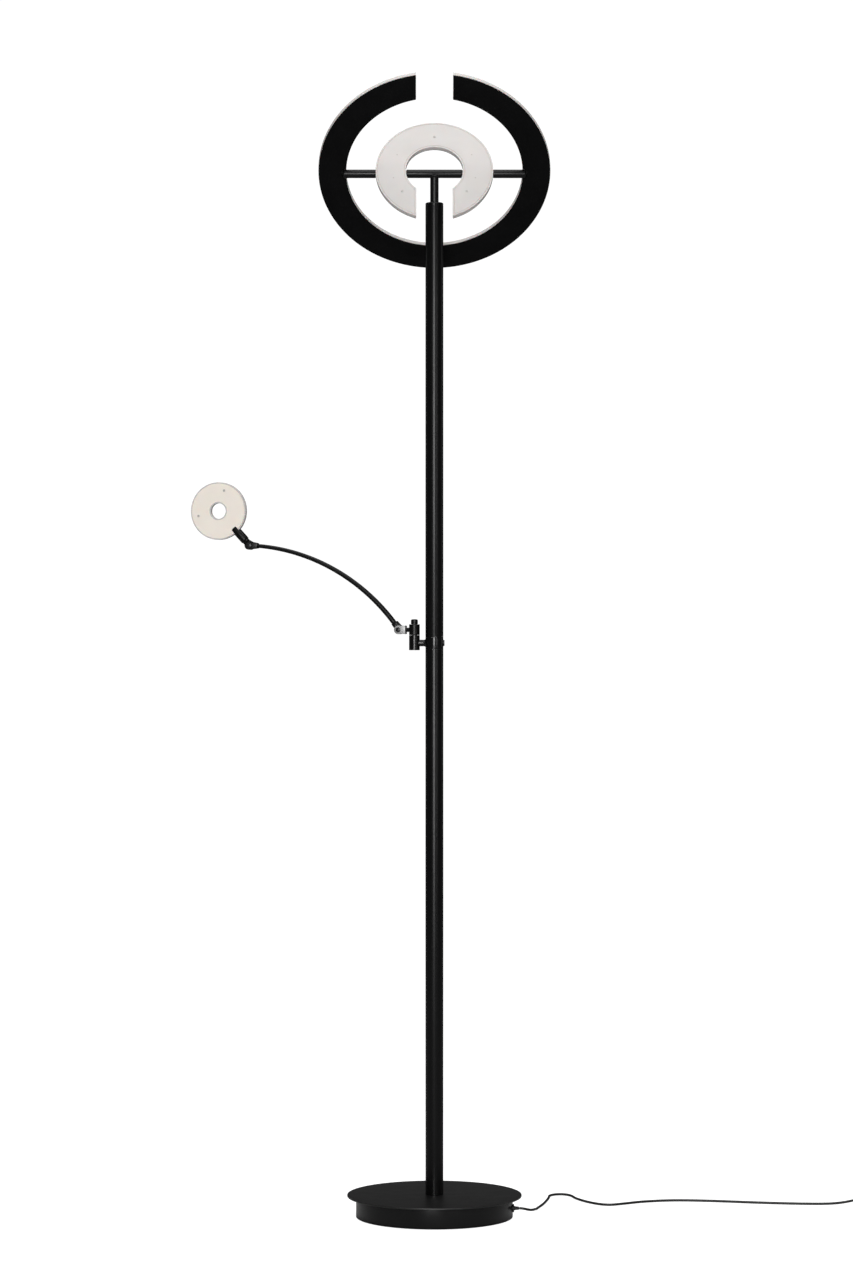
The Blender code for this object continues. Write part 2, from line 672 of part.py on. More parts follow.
def ring_diffuser(name, radius, hole, circle, notches, parent):
    """The translucent tray, open towards the plate, with notches for the sleeves and three screw holes."""
    tray = part(name, prism(split_ring(radius, hole, RING_GAP / 2), TRAY_BOTTOM, TRAY_TOP), "diffuser", parent)
    inside = split_ring(radius - TRAY_WALL, hole + TRAY_WALL, RING_GAP / 2 + TRAY_WALL)
    cut(tray, prism(inside, TRAY_BOTTOM - TRAY_WALL, TRAY_TOP - TRAY_WALL))
    half = BAR_RADIUS + NOTCH_PLAY
    for start, end in notches:
        cut(tray, box((start, -half, 0.0), (end, half, BAR_RADIUS + NOTCH_PLAY)))
        cut(tray, box((-end, -half, 0.0), (-start, half, BAR_RADIUS + NOTCH_PLAY)))
    for x, y in ring_screw_places(circle):
        cut(tray, shifted(disc(RING_SCREW_SHANK + SCREW_PLAY, 0.0, 2 * TRAY_TOP, COARSE), x, y))


def ring_plate(name, radius, hole, circle, parent):
    """The thin black plate on the solid side of a ring."""
    outline = split_ring(radius - PLATE_INSET, hole + PLATE_INSET, RING_GAP / 2 + PLATE_INSET)
    plate = part(name, prism(outline, RING_BELOW, RING_BELOW + RING_PLATE), "black_paint", parent)
    for x, y in ring_screw_places(circle):
        cut(plate, shifted(disc(RING_SCREW_SHANK + SCREW_PLAY, 0.0, 2 * TRAY_TOP, COARSE), x, y))
    return plate


def ring_board(name, radius, hole, circle, parent):
    """The LED board above the sleeves, inside the tray."""
    outline = split_ring(radius - BOARD_INSET, hole + BOARD_INSET, RING_GAP / 2 + BOARD_INSET)
    bottom = BAR_RADIUS + BOARD_RISE
    board = part(name, prism(outline, bottom, bottom + BOARD_THICKNESS), "board", parent)
    for x, y in ring_screw_places(circle):
        cut(board, shifted(disc(RING_SCREW_SHANK + SCREW_PLAY, 0.0, 2 * TRAY_TOP, COARSE), x, y))


def ring_screws(prefix, circle, parent):
    """Three screws through the diffuser into the plate."""
    seat = TRAY_TOP + GAP
    top = seat + RING_SCREW_HEAD_HEIGHT
    bottom = RING_BELOW + RING_PLATE / 4
    profile = [(0, bottom), (RING_SCREW_SHANK, bottom), (RING_SCREW_SHANK, seat), (RING_SCREW_HEAD, seat),
               (RING_SCREW_HEAD, top), (0, top)]
    for number, (x, y) in enumerate(ring_screw_places(circle), 1):
        part(f"{prefix}_screw_{number}", shifted(turned(profile, COARSE), x, y), "steel", parent)


def outer_slot(side):
    """The outline of the round-ended slot that the outer sleeve lies in."""
    start = OUTER_HOLE - 2 * PLATE_INSET
    centre = OUTER_SLEEVE_END + SLOT_END_PLAY - SLOT_HALF_WIDTH
    points = [(start, -SLOT_HALF_WIDTH)]
    points += [(centre + x, y) for x, y in arc(SLOT_HALF_WIDTH, math.radians(-90), math.radians(90), COARSE)]
    points.append((start, SLOT_HALF_WIDTH))
    return [(side * x, side * y) for x, y in points]


def outer_ring(parent):
    """The large ring: plate, board, diffuser, screws and the two sleeves that turn on the axle."""
    plate = ring_plate("outer_ring_plate", OUTER_RADIUS, OUTER_HOLE, OUTER_SCREW_CIRCLE, parent)
    for side in (-1, 1):
        cut(plate, prism(outer_slot(side), 0.0, TRAY_TOP))
    ring_board("outer_led_board", OUTER_RADIUS, OUTER_HOLE, OUTER_SCREW_CIRCLE, parent)
    notch = (OUTER_HOLE - TRAY_WALL, OUTER_HOLE + 2 * TRAY_WALL)
    ring_diffuser("outer_ring_diffuser", OUTER_RADIUS, OUTER_HOLE, OUTER_SCREW_CIRCLE, [notch], parent)
    ring_screws("outer", OUTER_SCREW_CIRCLE, parent)
    for name, turn in (("outer_pivot_right", 0.0), ("outer_pivot_left", math.pi)):
        outer_pivot(name, Matrix.Rotation(turn, 4, "Z"), parent)


def outer_pivot(name, turn, parent):
    """A sleeve with a rounded end and a saddle that is glued to the plate's inner face."""
    rounding = BAR_RADIUS / 4
    bore_end = AXLE_HALF_LENGTH + GAP
    profile = [(AXLE_BORE, OUTER_SLEEVE_START), (BAR_RADIUS, OUTER_SLEEVE_START)]
    for x, y in arc(rounding, 0.0, math.radians(90), 4):
        profile.append((BAR_RADIUS - rounding + x, OUTER_SLEEVE_END - rounding + y))
    profile += [(0, OUTER_SLEEVE_END), (0, bore_end), (AXLE_BORE, bore_end)]
    sleeve = part(name, moved(along_x(turned(profile, MEDIUM)), turn), "black_paint", parent)
    low = (OUTER_HOLE + TRAY_WALL + 2 * GAP, -SADDLE_HALF_WIDTH, TRAY_BOTTOM)
    high = (OUTER_SLEEVE_END + SADDLE_REACH, SADDLE_HALF_WIDTH, TRAY_BOTTOM + SADDLE_THICKNESS)
    saddle = box(low, high)
    weld(sleeve, moved(saddle, turn))
    bore = along_x(disc(AXLE_BORE, OUTER_SLEEVE_START - BAR_RADIUS, bore_end, MEDIUM))
    cut(sleeve, moved(bore, turn))


def inner_ring(parent):
    """The small ring: a plate with its two sleeves welded in, board, diffuser, screws and bushes."""
    plate = ring_plate("inner_ring_plate", INNER_RADIUS, INNER_HOLE, INNER_SCREW_CIRCLE, parent)
    for side in (-1, 1):
        turn = Matrix.Rotation(0.0 if side == 1 else math.pi, 4, "Z")
        sleeve = disc(BAR_RADIUS, INNER_SLEEVE_START, INNER_SLEEVE_END, MEDIUM)
        weld(plate, moved(along_x(sleeve), turn))
    for side in (-1, 1):
        turn = Matrix.Rotation(0.0 if side == 1 else math.pi, 4, "Z")
        bore = disc(BUSH_RADIUS + GAP, INNER_SLEEVE_START - TRAY_WALL, INNER_SLEEVE_END + TRAY_WALL, MEDIUM)
        cut(plate, moved(along_x(bore), turn))
        bush = tube(BUSH_RADIUS, AXLE_BORE, INNER_SLEEVE_START, INNER_SLEEVE_END, MEDIUM)
        name = "inner_bush_right" if side == 1 else "inner_bush_left"
        part(name, moved(along_x(bush), turn), "brass", parent)
    ring_board("inner_led_board", INNER_RADIUS, INNER_HOLE, INNER_SCREW_CIRCLE, parent)
    notches = [(INNER_HOLE - TRAY_WALL, INNER_HOLE + 2 * TRAY_WALL),
               (INNER_RADIUS - 2 * TRAY_WALL, INNER_RADIUS + TRAY_WALL)]
    ring_diffuser("inner_ring_diffuser", INNER_RADIUS, INNER_HOLE, INNER_SCREW_CIRCLE, notches, parent)
    ring_screws("inner", INNER_SCREW_CIRCLE, parent)


# Swivel post

def arm_collar():
    """The collar between the two tubes, with its stub and the lower half of the swivel post."""
    middle = (COLLAR_BOTTOM + COLLAR_TOP) / 2
    within_wall = POLE_BORE + POLE_WALL / 2
    stub = along_x(half_step(disc(STUB_RADIUS, -POST_OFFSET, -POLE_RADIUS / 2, MEDIUM), MEDIUM))
    collar = part("arm_collar", shifted(stub, z=middle), "black_paint")
    weld(collar, shifted(disc(POST_RADIUS, POST_BOTTOM, POST_TOP, MEDIUM), -POST_OFFSET))
    bore = disc(SWIVEL_PIN_RADIUS + RUNNING, POST_BOTTOM - POLE_WALL, POST_TOP + POLE_WALL, MEDIUM)
    cut(collar, shifted(bore, -POST_OFFSET))
    cut(collar, disc(within_wall, COLLAR_BOTTOM - POLE_WALL, COLLAR_TOP + POLE_WALL, MEDIUM))
    weld(collar, tube(POLE_RADIUS, POLE_BORE, COLLAR_BOTTOM, COLLAR_TOP, MEDIUM))
    hole = half_step(disc(COLLAR_SCREW_SHANK + SCREW_PLAY, 0.0, POLE_RADIUS + POLE_WALL, COARSE), COARSE)
    cut(collar, shifted(along_x(hole), z=middle))


def collar_screw():
    """The screw that clamps the collar, with a head shaped to the tube."""
    head = disc(COLLAR_SCREW_RADIUS, 0.0, POLE_RADIUS + COLLAR_SCREW_PROUD, COARSE)
    middle = (COLLAR_BOTTOM + COLLAR_TOP) / 2
    screw = part("collar_screw", shifted(along_x(head), z=middle), "black_paint")
    cut(screw, disc(POLE_RADIUS + GAP, COLLAR_BOTTOM, COLLAR_TOP, MEDIUM))
    shank = disc(COLLAR_SCREW_SHANK, POLE_BORE, POLE_RADIUS + COLLAR_SCREW_PROUD / 2, COARSE)
    weld(screw, shifted(along_x(shank), z=middle))


def swivel_pin():
    """The pin that the arm swings on, with its domed head."""
    bottom = POST_BOTTOM + GAP
    seat = SLEEVE_TOP + GAP
    top = seat + SWIVEL_HEAD_HEIGHT
    dome = SWIVEL_HEAD_RADIUS - SWIVEL_DOME
    profile = [(0, bottom), (SWIVEL_PIN_RADIUS, bottom), (SWIVEL_PIN_RADIUS, seat), (SWIVEL_HEAD_RADIUS, seat),
               (SWIVEL_HEAD_RADIUS, top - SWIVEL_DOME), (dome, top - SWIVEL_DOME / 4), (0, top)]
    part("swivel_pin", shifted(turned(profile, MEDIUM), -POST_OFFSET), "black_paint")


def swivel_sleeve(parent):
    """The upper half of the post, which turns, with its short rod out to the knuckle."""
    body = disc(POST_RADIUS, SLEEVE_BOTTOM, SLEEVE_TOP, MEDIUM)
    sleeve = part("swivel_sleeve", body, "black_paint", parent)
    rod = disc(SHORT_ROD_RADIUS, POST_RADIUS / 2, LOWER_KNUCKLE_X - HUB_REACH - GAP, COARSE)
    weld(sleeve, shifted(along_x(rod), z=KNUCKLE_HEIGHT))
    bore = disc(SWIVEL_PIN_RADIUS + RUNNING, SLEEVE_BOTTOM - GAP, SLEEVE_TOP + GAP, MEDIUM)
    cut(sleeve, bore)


# Knuckles and arm

def knuckle_half(name, front, reach, half_width, angle, finish, parent):
    """One half of a knuckle: half the barrel with a lug, and a full-width block past the other half."""
    middle = KNUCKLE_WIDTH / 2
    outline = teardrop(KNUCKLE_RADIUS, reach, half_width, angle)
    depth = (-middle, -HALF_SPLIT) if front else (HALF_SPLIT, middle)
    half = part(name, upright(prism(outline, *depth)), finish, parent)
    side = half_width - LUG_STEP
    low, high = (-middle + LUG_STEP, middle) if front else (-middle, middle - LUG_STEP)
    block = box((BLOCK_START, -side, low), (reach - LUG_STEP, side, high))
    block = moved(block, Matrix.Rotation(angle, 4, "Z"))
    weld(half, upright(block))
    cut(half, knuckle_bore())
    return half


def knuckle_bore():
    """The hole for a knuckle's screw, along Y."""
    return along_y(disc(KNUCKLE_SCREW_SHANK + RUNNING, -KNUCKLE_WIDTH, KNUCKLE_WIDTH, COARSE))


def knuckle_screw(name, head_radius, parent):
    """The screw that a knuckle turns on, its head on the front face."""
    seat = KNUCKLE_WIDTH / 2 + GAP
    top = seat + KNUCKLE_SCREW_HEAD_HEIGHT
    shank = KNUCKLE_SCREW_SHANK
    profile = [(0, GAP - KNUCKLE_WIDTH / 2), (shank, GAP - KNUCKLE_WIDTH / 2), (shank, seat),
               (head_radius, seat), (head_radius, top), (0, top)]
    part(name, along_y(turned(profile, COARSE)), "steel", parent)


def arm_centre():
    """The centre of the arm's bend, from the lower knuckle's axis, as (x, z)."""
    half = ARM_CHORD / 2
    sag = math.sqrt(ARM_BEND_RADIUS ** 2 - half ** 2)
    along = Vector((math.cos(ARM_CHORD_ANGLE), math.sin(ARM_CHORD_ANGLE)))
    across = Vector((math.sin(ARM_CHORD_ANGLE), -math.cos(ARM_CHORD_ANGLE)))
    return along * half + across * sag


def arm_tangents():
    """The arm's direction at its lower and its upper knuckle, as angles above the horizontal."""
    turn = math.asin(ARM_CHORD / 2 / ARM_BEND_RADIUS)
    return ARM_CHORD_ANGLE + turn, ARM_CHORD_ANGLE - turn


def arm_rod(parent):
    """The bent rod, which tapers towards the reading head."""
    centre = arm_centre()
    lower, upper = arm_tangents()
    trim = (LUG_REACH + GAP) / ARM_BEND_RADIUS
    start = lower + math.radians(90) - trim
    end = upper + math.radians(90) + trim
    shape = bmesh.new()
    rings = []
    for k in range(ARM_SECTIONS + 1):
        share = k / ARM_SECTIONS
        bearing = start + (end - start) * share
        radius = ARM_LOWER_RADIUS + (ARM_UPPER_RADIUS - ARM_LOWER_RADIUS) * share
        outwards = Vector((math.cos(bearing), 0.0, math.sin(bearing)))
        place = Vector((centre.x, 0.0, centre.y)) + outwards * ARM_BEND_RADIUS
        ring = []
        for x, y in arc(radius, 0.0, math.tau, COARSE)[:-1]:
            ring.append(shape.verts.new(place + outwards * x + Vector((0.0, y, 0.0))))
        rings.append(ring)
    for ring, following in zip(rings, rings[1:]):
        for k in range(COARSE):
            after = (k + 1) % COARSE
            shape.faces.new((ring[k], ring[after], following[after], following[k]))
    shape.faces.new(rings[0])
    shape.faces.new(rings[-1])
    bmesh.ops.recalc_face_normals(shape, faces=shape.faces)
    part("arm_rod", shape, "black_paint", parent)


def upper_knuckle_place():
    """The upper knuckle's axis, from the lower one's."""
    return (ARM_CHORD * math.cos(ARM_CHORD_ANGLE), 0.0, ARM_CHORD * math.sin(ARM_CHORD_ANGLE))


def swing_arm(swivel):
    """The arm from its swivel to its upper knuckle. Returns the empty on the upper knuckle's axis."""
    lower, upper = arm_tangents()
    swivel_sleeve(swivel)
    lower_axis = axis_empty("lower_knuckle_axis", swivel, (LOWER_KNUCKLE_X, 0.0, KNUCKLE_HEIGHT))
    knuckle_half("lower_knuckle_hub", True, HUB_REACH, KNUCKLE_RADIUS, math.pi, "satin_grey", lower_axis)
    knuckle_half("arm_lower_knuckle", False, LUG_REACH, LUG_HALF_WIDTH, lower, "black_paint", lower_axis)
    knuckle_screw("lower_knuckle_screw", LOWER_SCREW_HEAD, lower_axis)
    arm_rod(lower_axis)
    upper_axis = axis_empty("upper_knuckle_axis", lower_axis, upper_knuckle_place())
    back = math.pi + upper
    knuckle_half("arm_upper_knuckle", True, LUG_REACH, LUG_HALF_WIDTH, back, "black_paint", upper_axis)
    knuckle_screw("upper_knuckle_screw", UPPER_SCREW_HEAD, upper_axis)
    return upper_axis


# Reading head

def holder(parent):
    """The neck on the upper knuckle, the clamp that grips the head's rim, and the pin between them."""
    neck = knuckle_half("holder_neck", False, BLOCK_START + 0.001, LUG_HALF_WIDTH, 0.0, "black_paint", parent)
    weld(neck, along_x(disc(NECK_RADIUS, BLOCK_START + LUG_STEP, NECK_END, MEDIUM)))
    bore = HOLDER_PIN_RADIUS + RUNNING
    cut(neck, along_x(disc(bore, HOLDER_PIN_START - RUNNING, 2 * NECK_END, COARSE)))
    start = NECK_END + GAP
    edge = CLAMP_RADIUS - CLAMP_CHAMFER
    profile = [(0, start), (edge, start), (CLAMP_RADIUS, start + CLAMP_CHAMFER),
               (CLAMP_RADIUS, CLAMP_END - CLAMP_CHAMFER), (edge, CLAMP_END), (0, CLAMP_END)]
    clamp = part("holder_clamp", along_x(turned(profile, MEDIUM)), "black_paint", parent)
    slot = HEAD_THICKNESS / 2 + GAP
    slot_start = HEAD_CENTRE - HEAD_RADIUS - GAP
    cut(clamp, box((slot_start, -slot, -2 * CLAMP_RADIUS), (2 * CLAMP_END, slot, 2 * CLAMP_RADIUS)))
    cut(clamp, along_x(disc(bore, 0.0, HOLDER_PIN_END + GAP, COARSE)))
    part("holder_pin", along_x(disc(HOLDER_PIN_RADIUS, HOLDER_PIN_START, HOLDER_PIN_END, COARSE)), "steel", parent)


def head_screw_places():
    """Where the head's two visible screws stand, from its centre."""
    angles = (math.radians(60), math.radians(-60))
    return [(HEAD_SCREW_CIRCLE * math.cos(t), HEAD_SCREW_CIRCLE * math.sin(t)) for t in angles]


def reading_disc(parent):
    """The reading head: back plate, board, diffuser and screws, its face towards +Y."""
    back = -HEAD_THICKNESS / 2
    front = HEAD_THICKNESS / 2
    middle = back + HEAD_PLATE + GAP
    centre = Matrix.Translation((HEAD_CENTRE, 0.0, 0.0))
    plate = tube(HEAD_RADIUS - PLATE_INSET, HEAD_HOLE + PLATE_INSET, back, back + HEAD_PLATE, FINE)
    plate = part("reading_back_plate", moved(along_y(plate), centre), "black_paint", parent)
    wall = HEAD_TRAY_WALL
    rim = HEAD_RADIUS - wall
    hub = HEAD_HOLE + wall
    profile = [(HEAD_HOLE, middle), (hub, middle), (hub, front - wall), (rim, front - wall), (rim, middle),
               (HEAD_RADIUS, middle), (HEAD_RADIUS, front), (HEAD_HOLE, front)]
    diffuser = part("reading_diffuser", moved(along_y(turned(profile, FINE)), centre), "diffuser", parent)
    inset = HEAD_BOARD_INSET
    board_bottom = middle + HEAD_THICKNESS / 4
    board = tube(HEAD_RADIUS - inset, HEAD_HOLE + inset, board_bottom, board_bottom + BOARD_THICKNESS, MEDIUM)
    board = part("reading_led_board", moved(along_y(board), centre), "board", parent)
    seat = front + GAP
    top = seat + RING_SCREW_HEAD_HEIGHT
    shank = RING_SCREW_SHANK
    screw = [(0, back + GAP), (shank, back + GAP), (shank, seat), (HEAD_SCREW_HEAD, seat),
             (HEAD_SCREW_HEAD, top), (0, top)]
    for number, (x, z) in enumerate(head_screw_places(), 1):
        place = Matrix.Translation((HEAD_CENTRE + x, 0.0, z))
        part(f"reading_screw_{number}", moved(along_y(turned(screw, COARSE)), place), "steel", parent)
        for pierced in (plate, diffuser, board):
            hole = disc(shank + SCREW_PLAY, 2 * back, 2 * front, COARSE)
            cut(pierced, moved(along_y(hole), place))


# Cord

def cord_tube():
    """The cord's free stretch, from the gland to its coil."""
    gland = gland_place()
    start = gland @ Vector((gland_end() + GAP, 0.0, 0.0))
    lead = gland @ Vector((gland_end() + GAP + CORD_LEAD, 0.0, 0.0))
    points = [start] + smooth_route([lead, *CORD_ROUTE, cord_tube_end()], CORD_STEP)
    curve = bpy.data.curves.new("cord_tube", "CURVE")
    curve.dimensions = "3D"
    curve.bevel_depth = CORD_RADIUS
    curve.bevel_resolution = 2
    curve.use_fill_caps = True
    spline = curve.splines.new("POLY")
    spline.points.add(len(points) - 1)
    for target, point in zip(spline.points, points):
        target.co = (*point, 1.0)
    cord = bpy.data.objects.new("cord_tube", curve)
    curve.materials.append(own_material("cord_tube", "rubber"))
    bpy.context.scene.collection.objects.link(cord)


def cord_tube_end():
    """Where the free stretch meets the coil's side, along the tangent of its innermost and highest turn."""
    turn = COIL_MEAN_RADIUS - COIL_HALF_WIDTH + CORD_RADIUS
    outer = COIL_MEAN_RADIUS + COIL_HALF_WIDTH
    reach = math.sqrt(outer ** 2 - (turn - CORD_RADIUS) ** 2)
    return Vector((COIL_CENTRE[0] - reach - 2 * GAP, COIL_CENTRE[1] + turn, COIL_HEIGHT - CORD_RADIUS))


def cord_coil():
    """The outer shape of the wound length."""
    inner = COIL_MEAN_RADIUS - COIL_HALF_WIDTH
    outer = COIL_MEAN_RADIUS + COIL_HALF_WIDTH
    part("cord_coil", shifted(tube(outer, inner, 0.0, COIL_HEIGHT, MEDIUM), *COIL_CENTRE), "rubber")


def plug():
    """The slim two-pin plug, which lies beside the coil and points to the front."""
    outer = COIL_MEAN_RADIUS + COIL_HALF_WIDTH
    turn = outer - CORD_RADIUS
    tail = math.sqrt(outer ** 2 - (turn - PLUG_TAIL_RADIUS) ** 2) + 2 * GAP
    place = Matrix.Translation((COIL_CENTRE[0] + turn, COIL_CENTRE[1] - tail, PLUG_HALF_HEIGHT))
    shape = bmesh.new()
    rings = []
    sections = ((0.0, PLUG_TAIL_RADIUS, PLUG_TAIL_RADIUS), (0.30, PLUG_TAIL_RADIUS * 1.4, PLUG_TAIL_RADIUS * 1.3),
                (0.55, PLUG_HALF_WIDTH * 0.86, PLUG_HALF_HEIGHT * 0.9), (0.70, PLUG_HALF_WIDTH, PLUG_HALF_HEIGHT),
                (1.0, PLUG_HALF_WIDTH, PLUG_HALF_HEIGHT))
    for share, half_x, half_z in sections:
        ring = []
        for x, y in arc(1.0, 0.0, math.tau, COARSE)[:-1]:
            ring.append(shape.verts.new((half_x * x, -share * PLUG_LENGTH, half_z * y)))
        rings.append(ring)
    for ring, following in zip(rings, rings[1:]):
        for k in range(COARSE):
            after = (k + 1) % COARSE
            shape.faces.new((ring[k], ring[after], following[after], following[k]))
    shape.faces.new(rings[0])
    shape.faces.new(rings[-1])
    bmesh.ops.recalc_face_normals(shape, faces=shape.faces)
    body = part("plug", moved(shape, place), "rubber")
    for side in (-1, 1):
        pin = along_y(disc(PLUG_PIN_RADIUS, -PLUG_LENGTH - PLUG_PIN_LENGTH, 0.002 - PLUG_LENGTH, COARSE))
        weld(body, moved(shifted(pin, side * PLUG_PIN_SPREAD), place))


def main():
    """Build the lamp."""
    clear_scene()
    foot_pad()
    bottom_cover()
    ballast()
    base_drum()
    base_top_plate()
    driver_and_terminal()
    nipple_nut_and_bush()
    cord_gland()
    poles()
    pole_top_cap()
    tee_stem()
    axle_and_cable()
    bar = (0.0, 0.0, BAR_HEIGHT)
    outer_ring(axis_empty("outer_ring_axis", None, bar, (OUTER_TILT, 0.0, 0.0)))
    inner_ring(axis_empty("inner_ring_axis", None, bar, (INNER_TILT, 0.0, 0.0)))
    arm_collar()
    collar_screw()
    swivel_pin()
    swivel = axis_empty("swivel_axis", None, (-POST_OFFSET, 0.0, 0.0), (0.0, 0.0, SWING_REST))
    upper_axis = swing_arm(swivel)
    holder_axis = axis_empty("holder_axis", upper_axis, (0.0, 0.0, 0.0), (0.0, -HOLDER_ANGLE, 0.0))
    holder(holder_axis)
    reading_disc(holder_axis)
    cord_tube()
    cord_coil()
    plug()


main()
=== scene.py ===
"""Looks of a torchiere floor lamp: fine surfaces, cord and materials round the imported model.

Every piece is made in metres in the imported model's own frame. The rings, the arm's knuckles and the reading
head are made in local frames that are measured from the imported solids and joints.
"""
import json
import math

import bmesh
import bpy
import numpy as np
from bpy.props import FloatProperty, FloatVectorProperty, PointerProperty
from mathutils import Matrix, Vector


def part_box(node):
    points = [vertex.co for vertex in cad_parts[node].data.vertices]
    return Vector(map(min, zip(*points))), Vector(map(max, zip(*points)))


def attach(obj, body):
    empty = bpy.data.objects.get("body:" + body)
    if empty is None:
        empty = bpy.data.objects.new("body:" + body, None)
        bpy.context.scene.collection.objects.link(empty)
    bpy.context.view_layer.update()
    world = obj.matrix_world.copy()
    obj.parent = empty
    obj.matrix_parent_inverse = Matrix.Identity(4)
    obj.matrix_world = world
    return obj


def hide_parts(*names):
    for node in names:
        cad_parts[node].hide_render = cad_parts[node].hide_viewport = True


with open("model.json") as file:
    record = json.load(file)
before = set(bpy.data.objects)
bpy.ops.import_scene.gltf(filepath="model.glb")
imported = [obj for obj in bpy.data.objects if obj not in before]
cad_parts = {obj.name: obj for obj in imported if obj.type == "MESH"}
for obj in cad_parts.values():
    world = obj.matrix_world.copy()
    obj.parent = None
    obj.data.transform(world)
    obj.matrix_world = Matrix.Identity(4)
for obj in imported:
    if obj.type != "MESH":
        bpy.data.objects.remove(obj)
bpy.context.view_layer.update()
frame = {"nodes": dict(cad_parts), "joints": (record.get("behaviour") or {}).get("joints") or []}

bl_info = {
    "name": "Ring torchiere",
    "version": (1, 0, 0),
    "blender": (4, 5, 0),
    "location": "View3D > Sidebar > Lamp",
    "description": "Builds the visible surfaces of a split-ring torchiere with a reading arm",
    "category": "Object",
}

JOINTS = {joint["name"]: joint for joint in frame["joints"]}

# Facets round a full turn
RING_FACETS = 192
ROUND_FACETS = 96
SMALL_FACETS = 40
UP = Vector((0.0, 0.0, 1.0))
RIGHT = Vector((1.0, 0.0, 0.0))
# How far each tube's end is drawn into the narrow gap next to it
SEAM = 0.0001

# Fixed sizes, in metres
BAR_RADIUS = 0.0067
AXLE_BORE = 0.0043
BUSH_BORE = 0.0054
PIN_BORE = 0.0043
GLAND_HOLE = 0.0043
SLOT_HALF_WIDTH = 0.00825
SLOT_END_PLAY = 0.003
SADDLE_HALF_WIDTH = 0.014
OUTER_SCREW_CIRCLE = 0.161
INNER_SCREW_CIRCLE = 0.065
READING_SCREW_CIRCLE = 0.034
FACE_SCREW_RADIUS = 0.002
FACE_SCREW_HEIGHT = 0.0008
KNUCKLE_RADIUS = 0.0069
KNUCKLE_HALF_DEPTH = 0.007
KNUCKLE_REACH = 0.014
KNUCKLE_BORE = 0.0023
HUB_REACH = 0.0113
BLOCK_HALF_WIDTH = 0.0045
NECK_REACH = 0.0084
NECK_RADIUS = 0.00575
NECK_START = 0.0076
NECK_END = 0.0104
CLAMP_START = 0.0107
CLAMP_END = 0.038
CLAMP_RADIUS = 0.0068
CLAMP_BORE = 0.0028
CLAMP_BORE_END = 0.0223
RIM_SLOT_START = 0.0294
RIM_SLOT_HALF = 0.00505
HEAD_CENTRE = 0.0757


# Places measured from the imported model

def node_points(node):
    """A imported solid's vertices as an array."""
    return np.array([v.co for v in frame["nodes"][node].data.vertices], float)


def axis_point(joint):
    """A point on a joint's axis."""
    return Vector(JOINTS[joint]["pos_m"])


def frame_at(origin, x_axis, y_axis):
    """A matrix with these axes and the third worked out."""
    x_axis = x_axis.normalized()
    z_axis = x_axis.cross(y_axis).normalized()
    y_axis = z_axis.cross(x_axis)
    matrix = Matrix((x_axis, y_axis, z_axis)).transposed().to_4x4()
    matrix.translation = origin
    return matrix


def ring_frame(plate, tray):
    """A ring's own frame: X along the bar, the gap towards -Y and the diffuser towards +Z."""
    points = node_points(plate)
    spread = np.linalg.eigh(np.cov((points - points.mean(0)).T))
    normal = Vector(spread[1][:, 0])
    normal = (normal - RIGHT * normal.dot(RIGHT)).normalized()
    rise = Vector(node_points(tray).mean(0) - points.mean(0))
    if rise.dot(normal) < 0:
        normal = -normal
    return frame_at(axis_point("outer_ring_tilt"), RIGHT, normal.cross(RIGHT))


def ring_sizes(node, place):
    """A ring's radii, half gap and lowest and highest face, in its own frame."""
    points = node_points(node)
    local = np.array([place.inverted() @ Vector(p) for p in points])
    radial = np.hypot(local[:, 0], local[:, 1])
    front = local[local[:, 1] < -radial.min() * 0.6]
    return {
        "radius": float(radial.max()),
        "hole": float(radial[radial > 0.03].min()),
        "half_gap": float(np.abs(front[:, 0]).min()),
        "low": float(local[:, 2].min()),
        "high": float(local[:, 2].max()),
    }


OUTER_PLACE = ring_frame("outer_ring_plate", "outer_ring_diffuser")
INNER_PLACE = ring_frame("inner_ring_plate", "inner_ring_diffuser")
KNUCKLE_AXIS = Vector(JOINTS["arm_lift"]["axis"])
HOLDER_AXIS = Vector(JOINTS["head_roll"]["axis"])
ARM_PLACE = frame_at(axis_point("arm_lift"), KNUCKLE_AXIS.cross(UP), KNUCKLE_AXIS)
ARM_END_PLACE = frame_at(axis_point("head_tilt"), KNUCKLE_AXIS.cross(UP), KNUCKLE_AXIS)
HOLDER_PLACE = frame_at(axis_point("head_tilt"), HOLDER_AXIS, KNUCKLE_AXIS)


class LampSizes(bpy.types.PropertyGroup):
    """Sizes of the fine detail."""

    edge: FloatProperty(name="Edge", description="Rounding of sheet and moulded edges", default=0.0005,
                        min=0.0001, max=0.002, unit="LENGTH")
    border: FloatProperty(name="Border", description="Width of the frame round each diffuser", default=0.0023,
                          min=0.001, max=0.006, unit="LENGTH")
    groove: FloatProperty(name="Groove", description="Width and depth of the line inside the border",
                          default=0.0005, min=0.0002, max=0.002, unit="LENGTH")
    cord_radius: FloatProperty(name="Cord radius", description="Half of the cord's thickness", default=0.002,
                               min=0.001, max=0.004, unit="LENGTH")


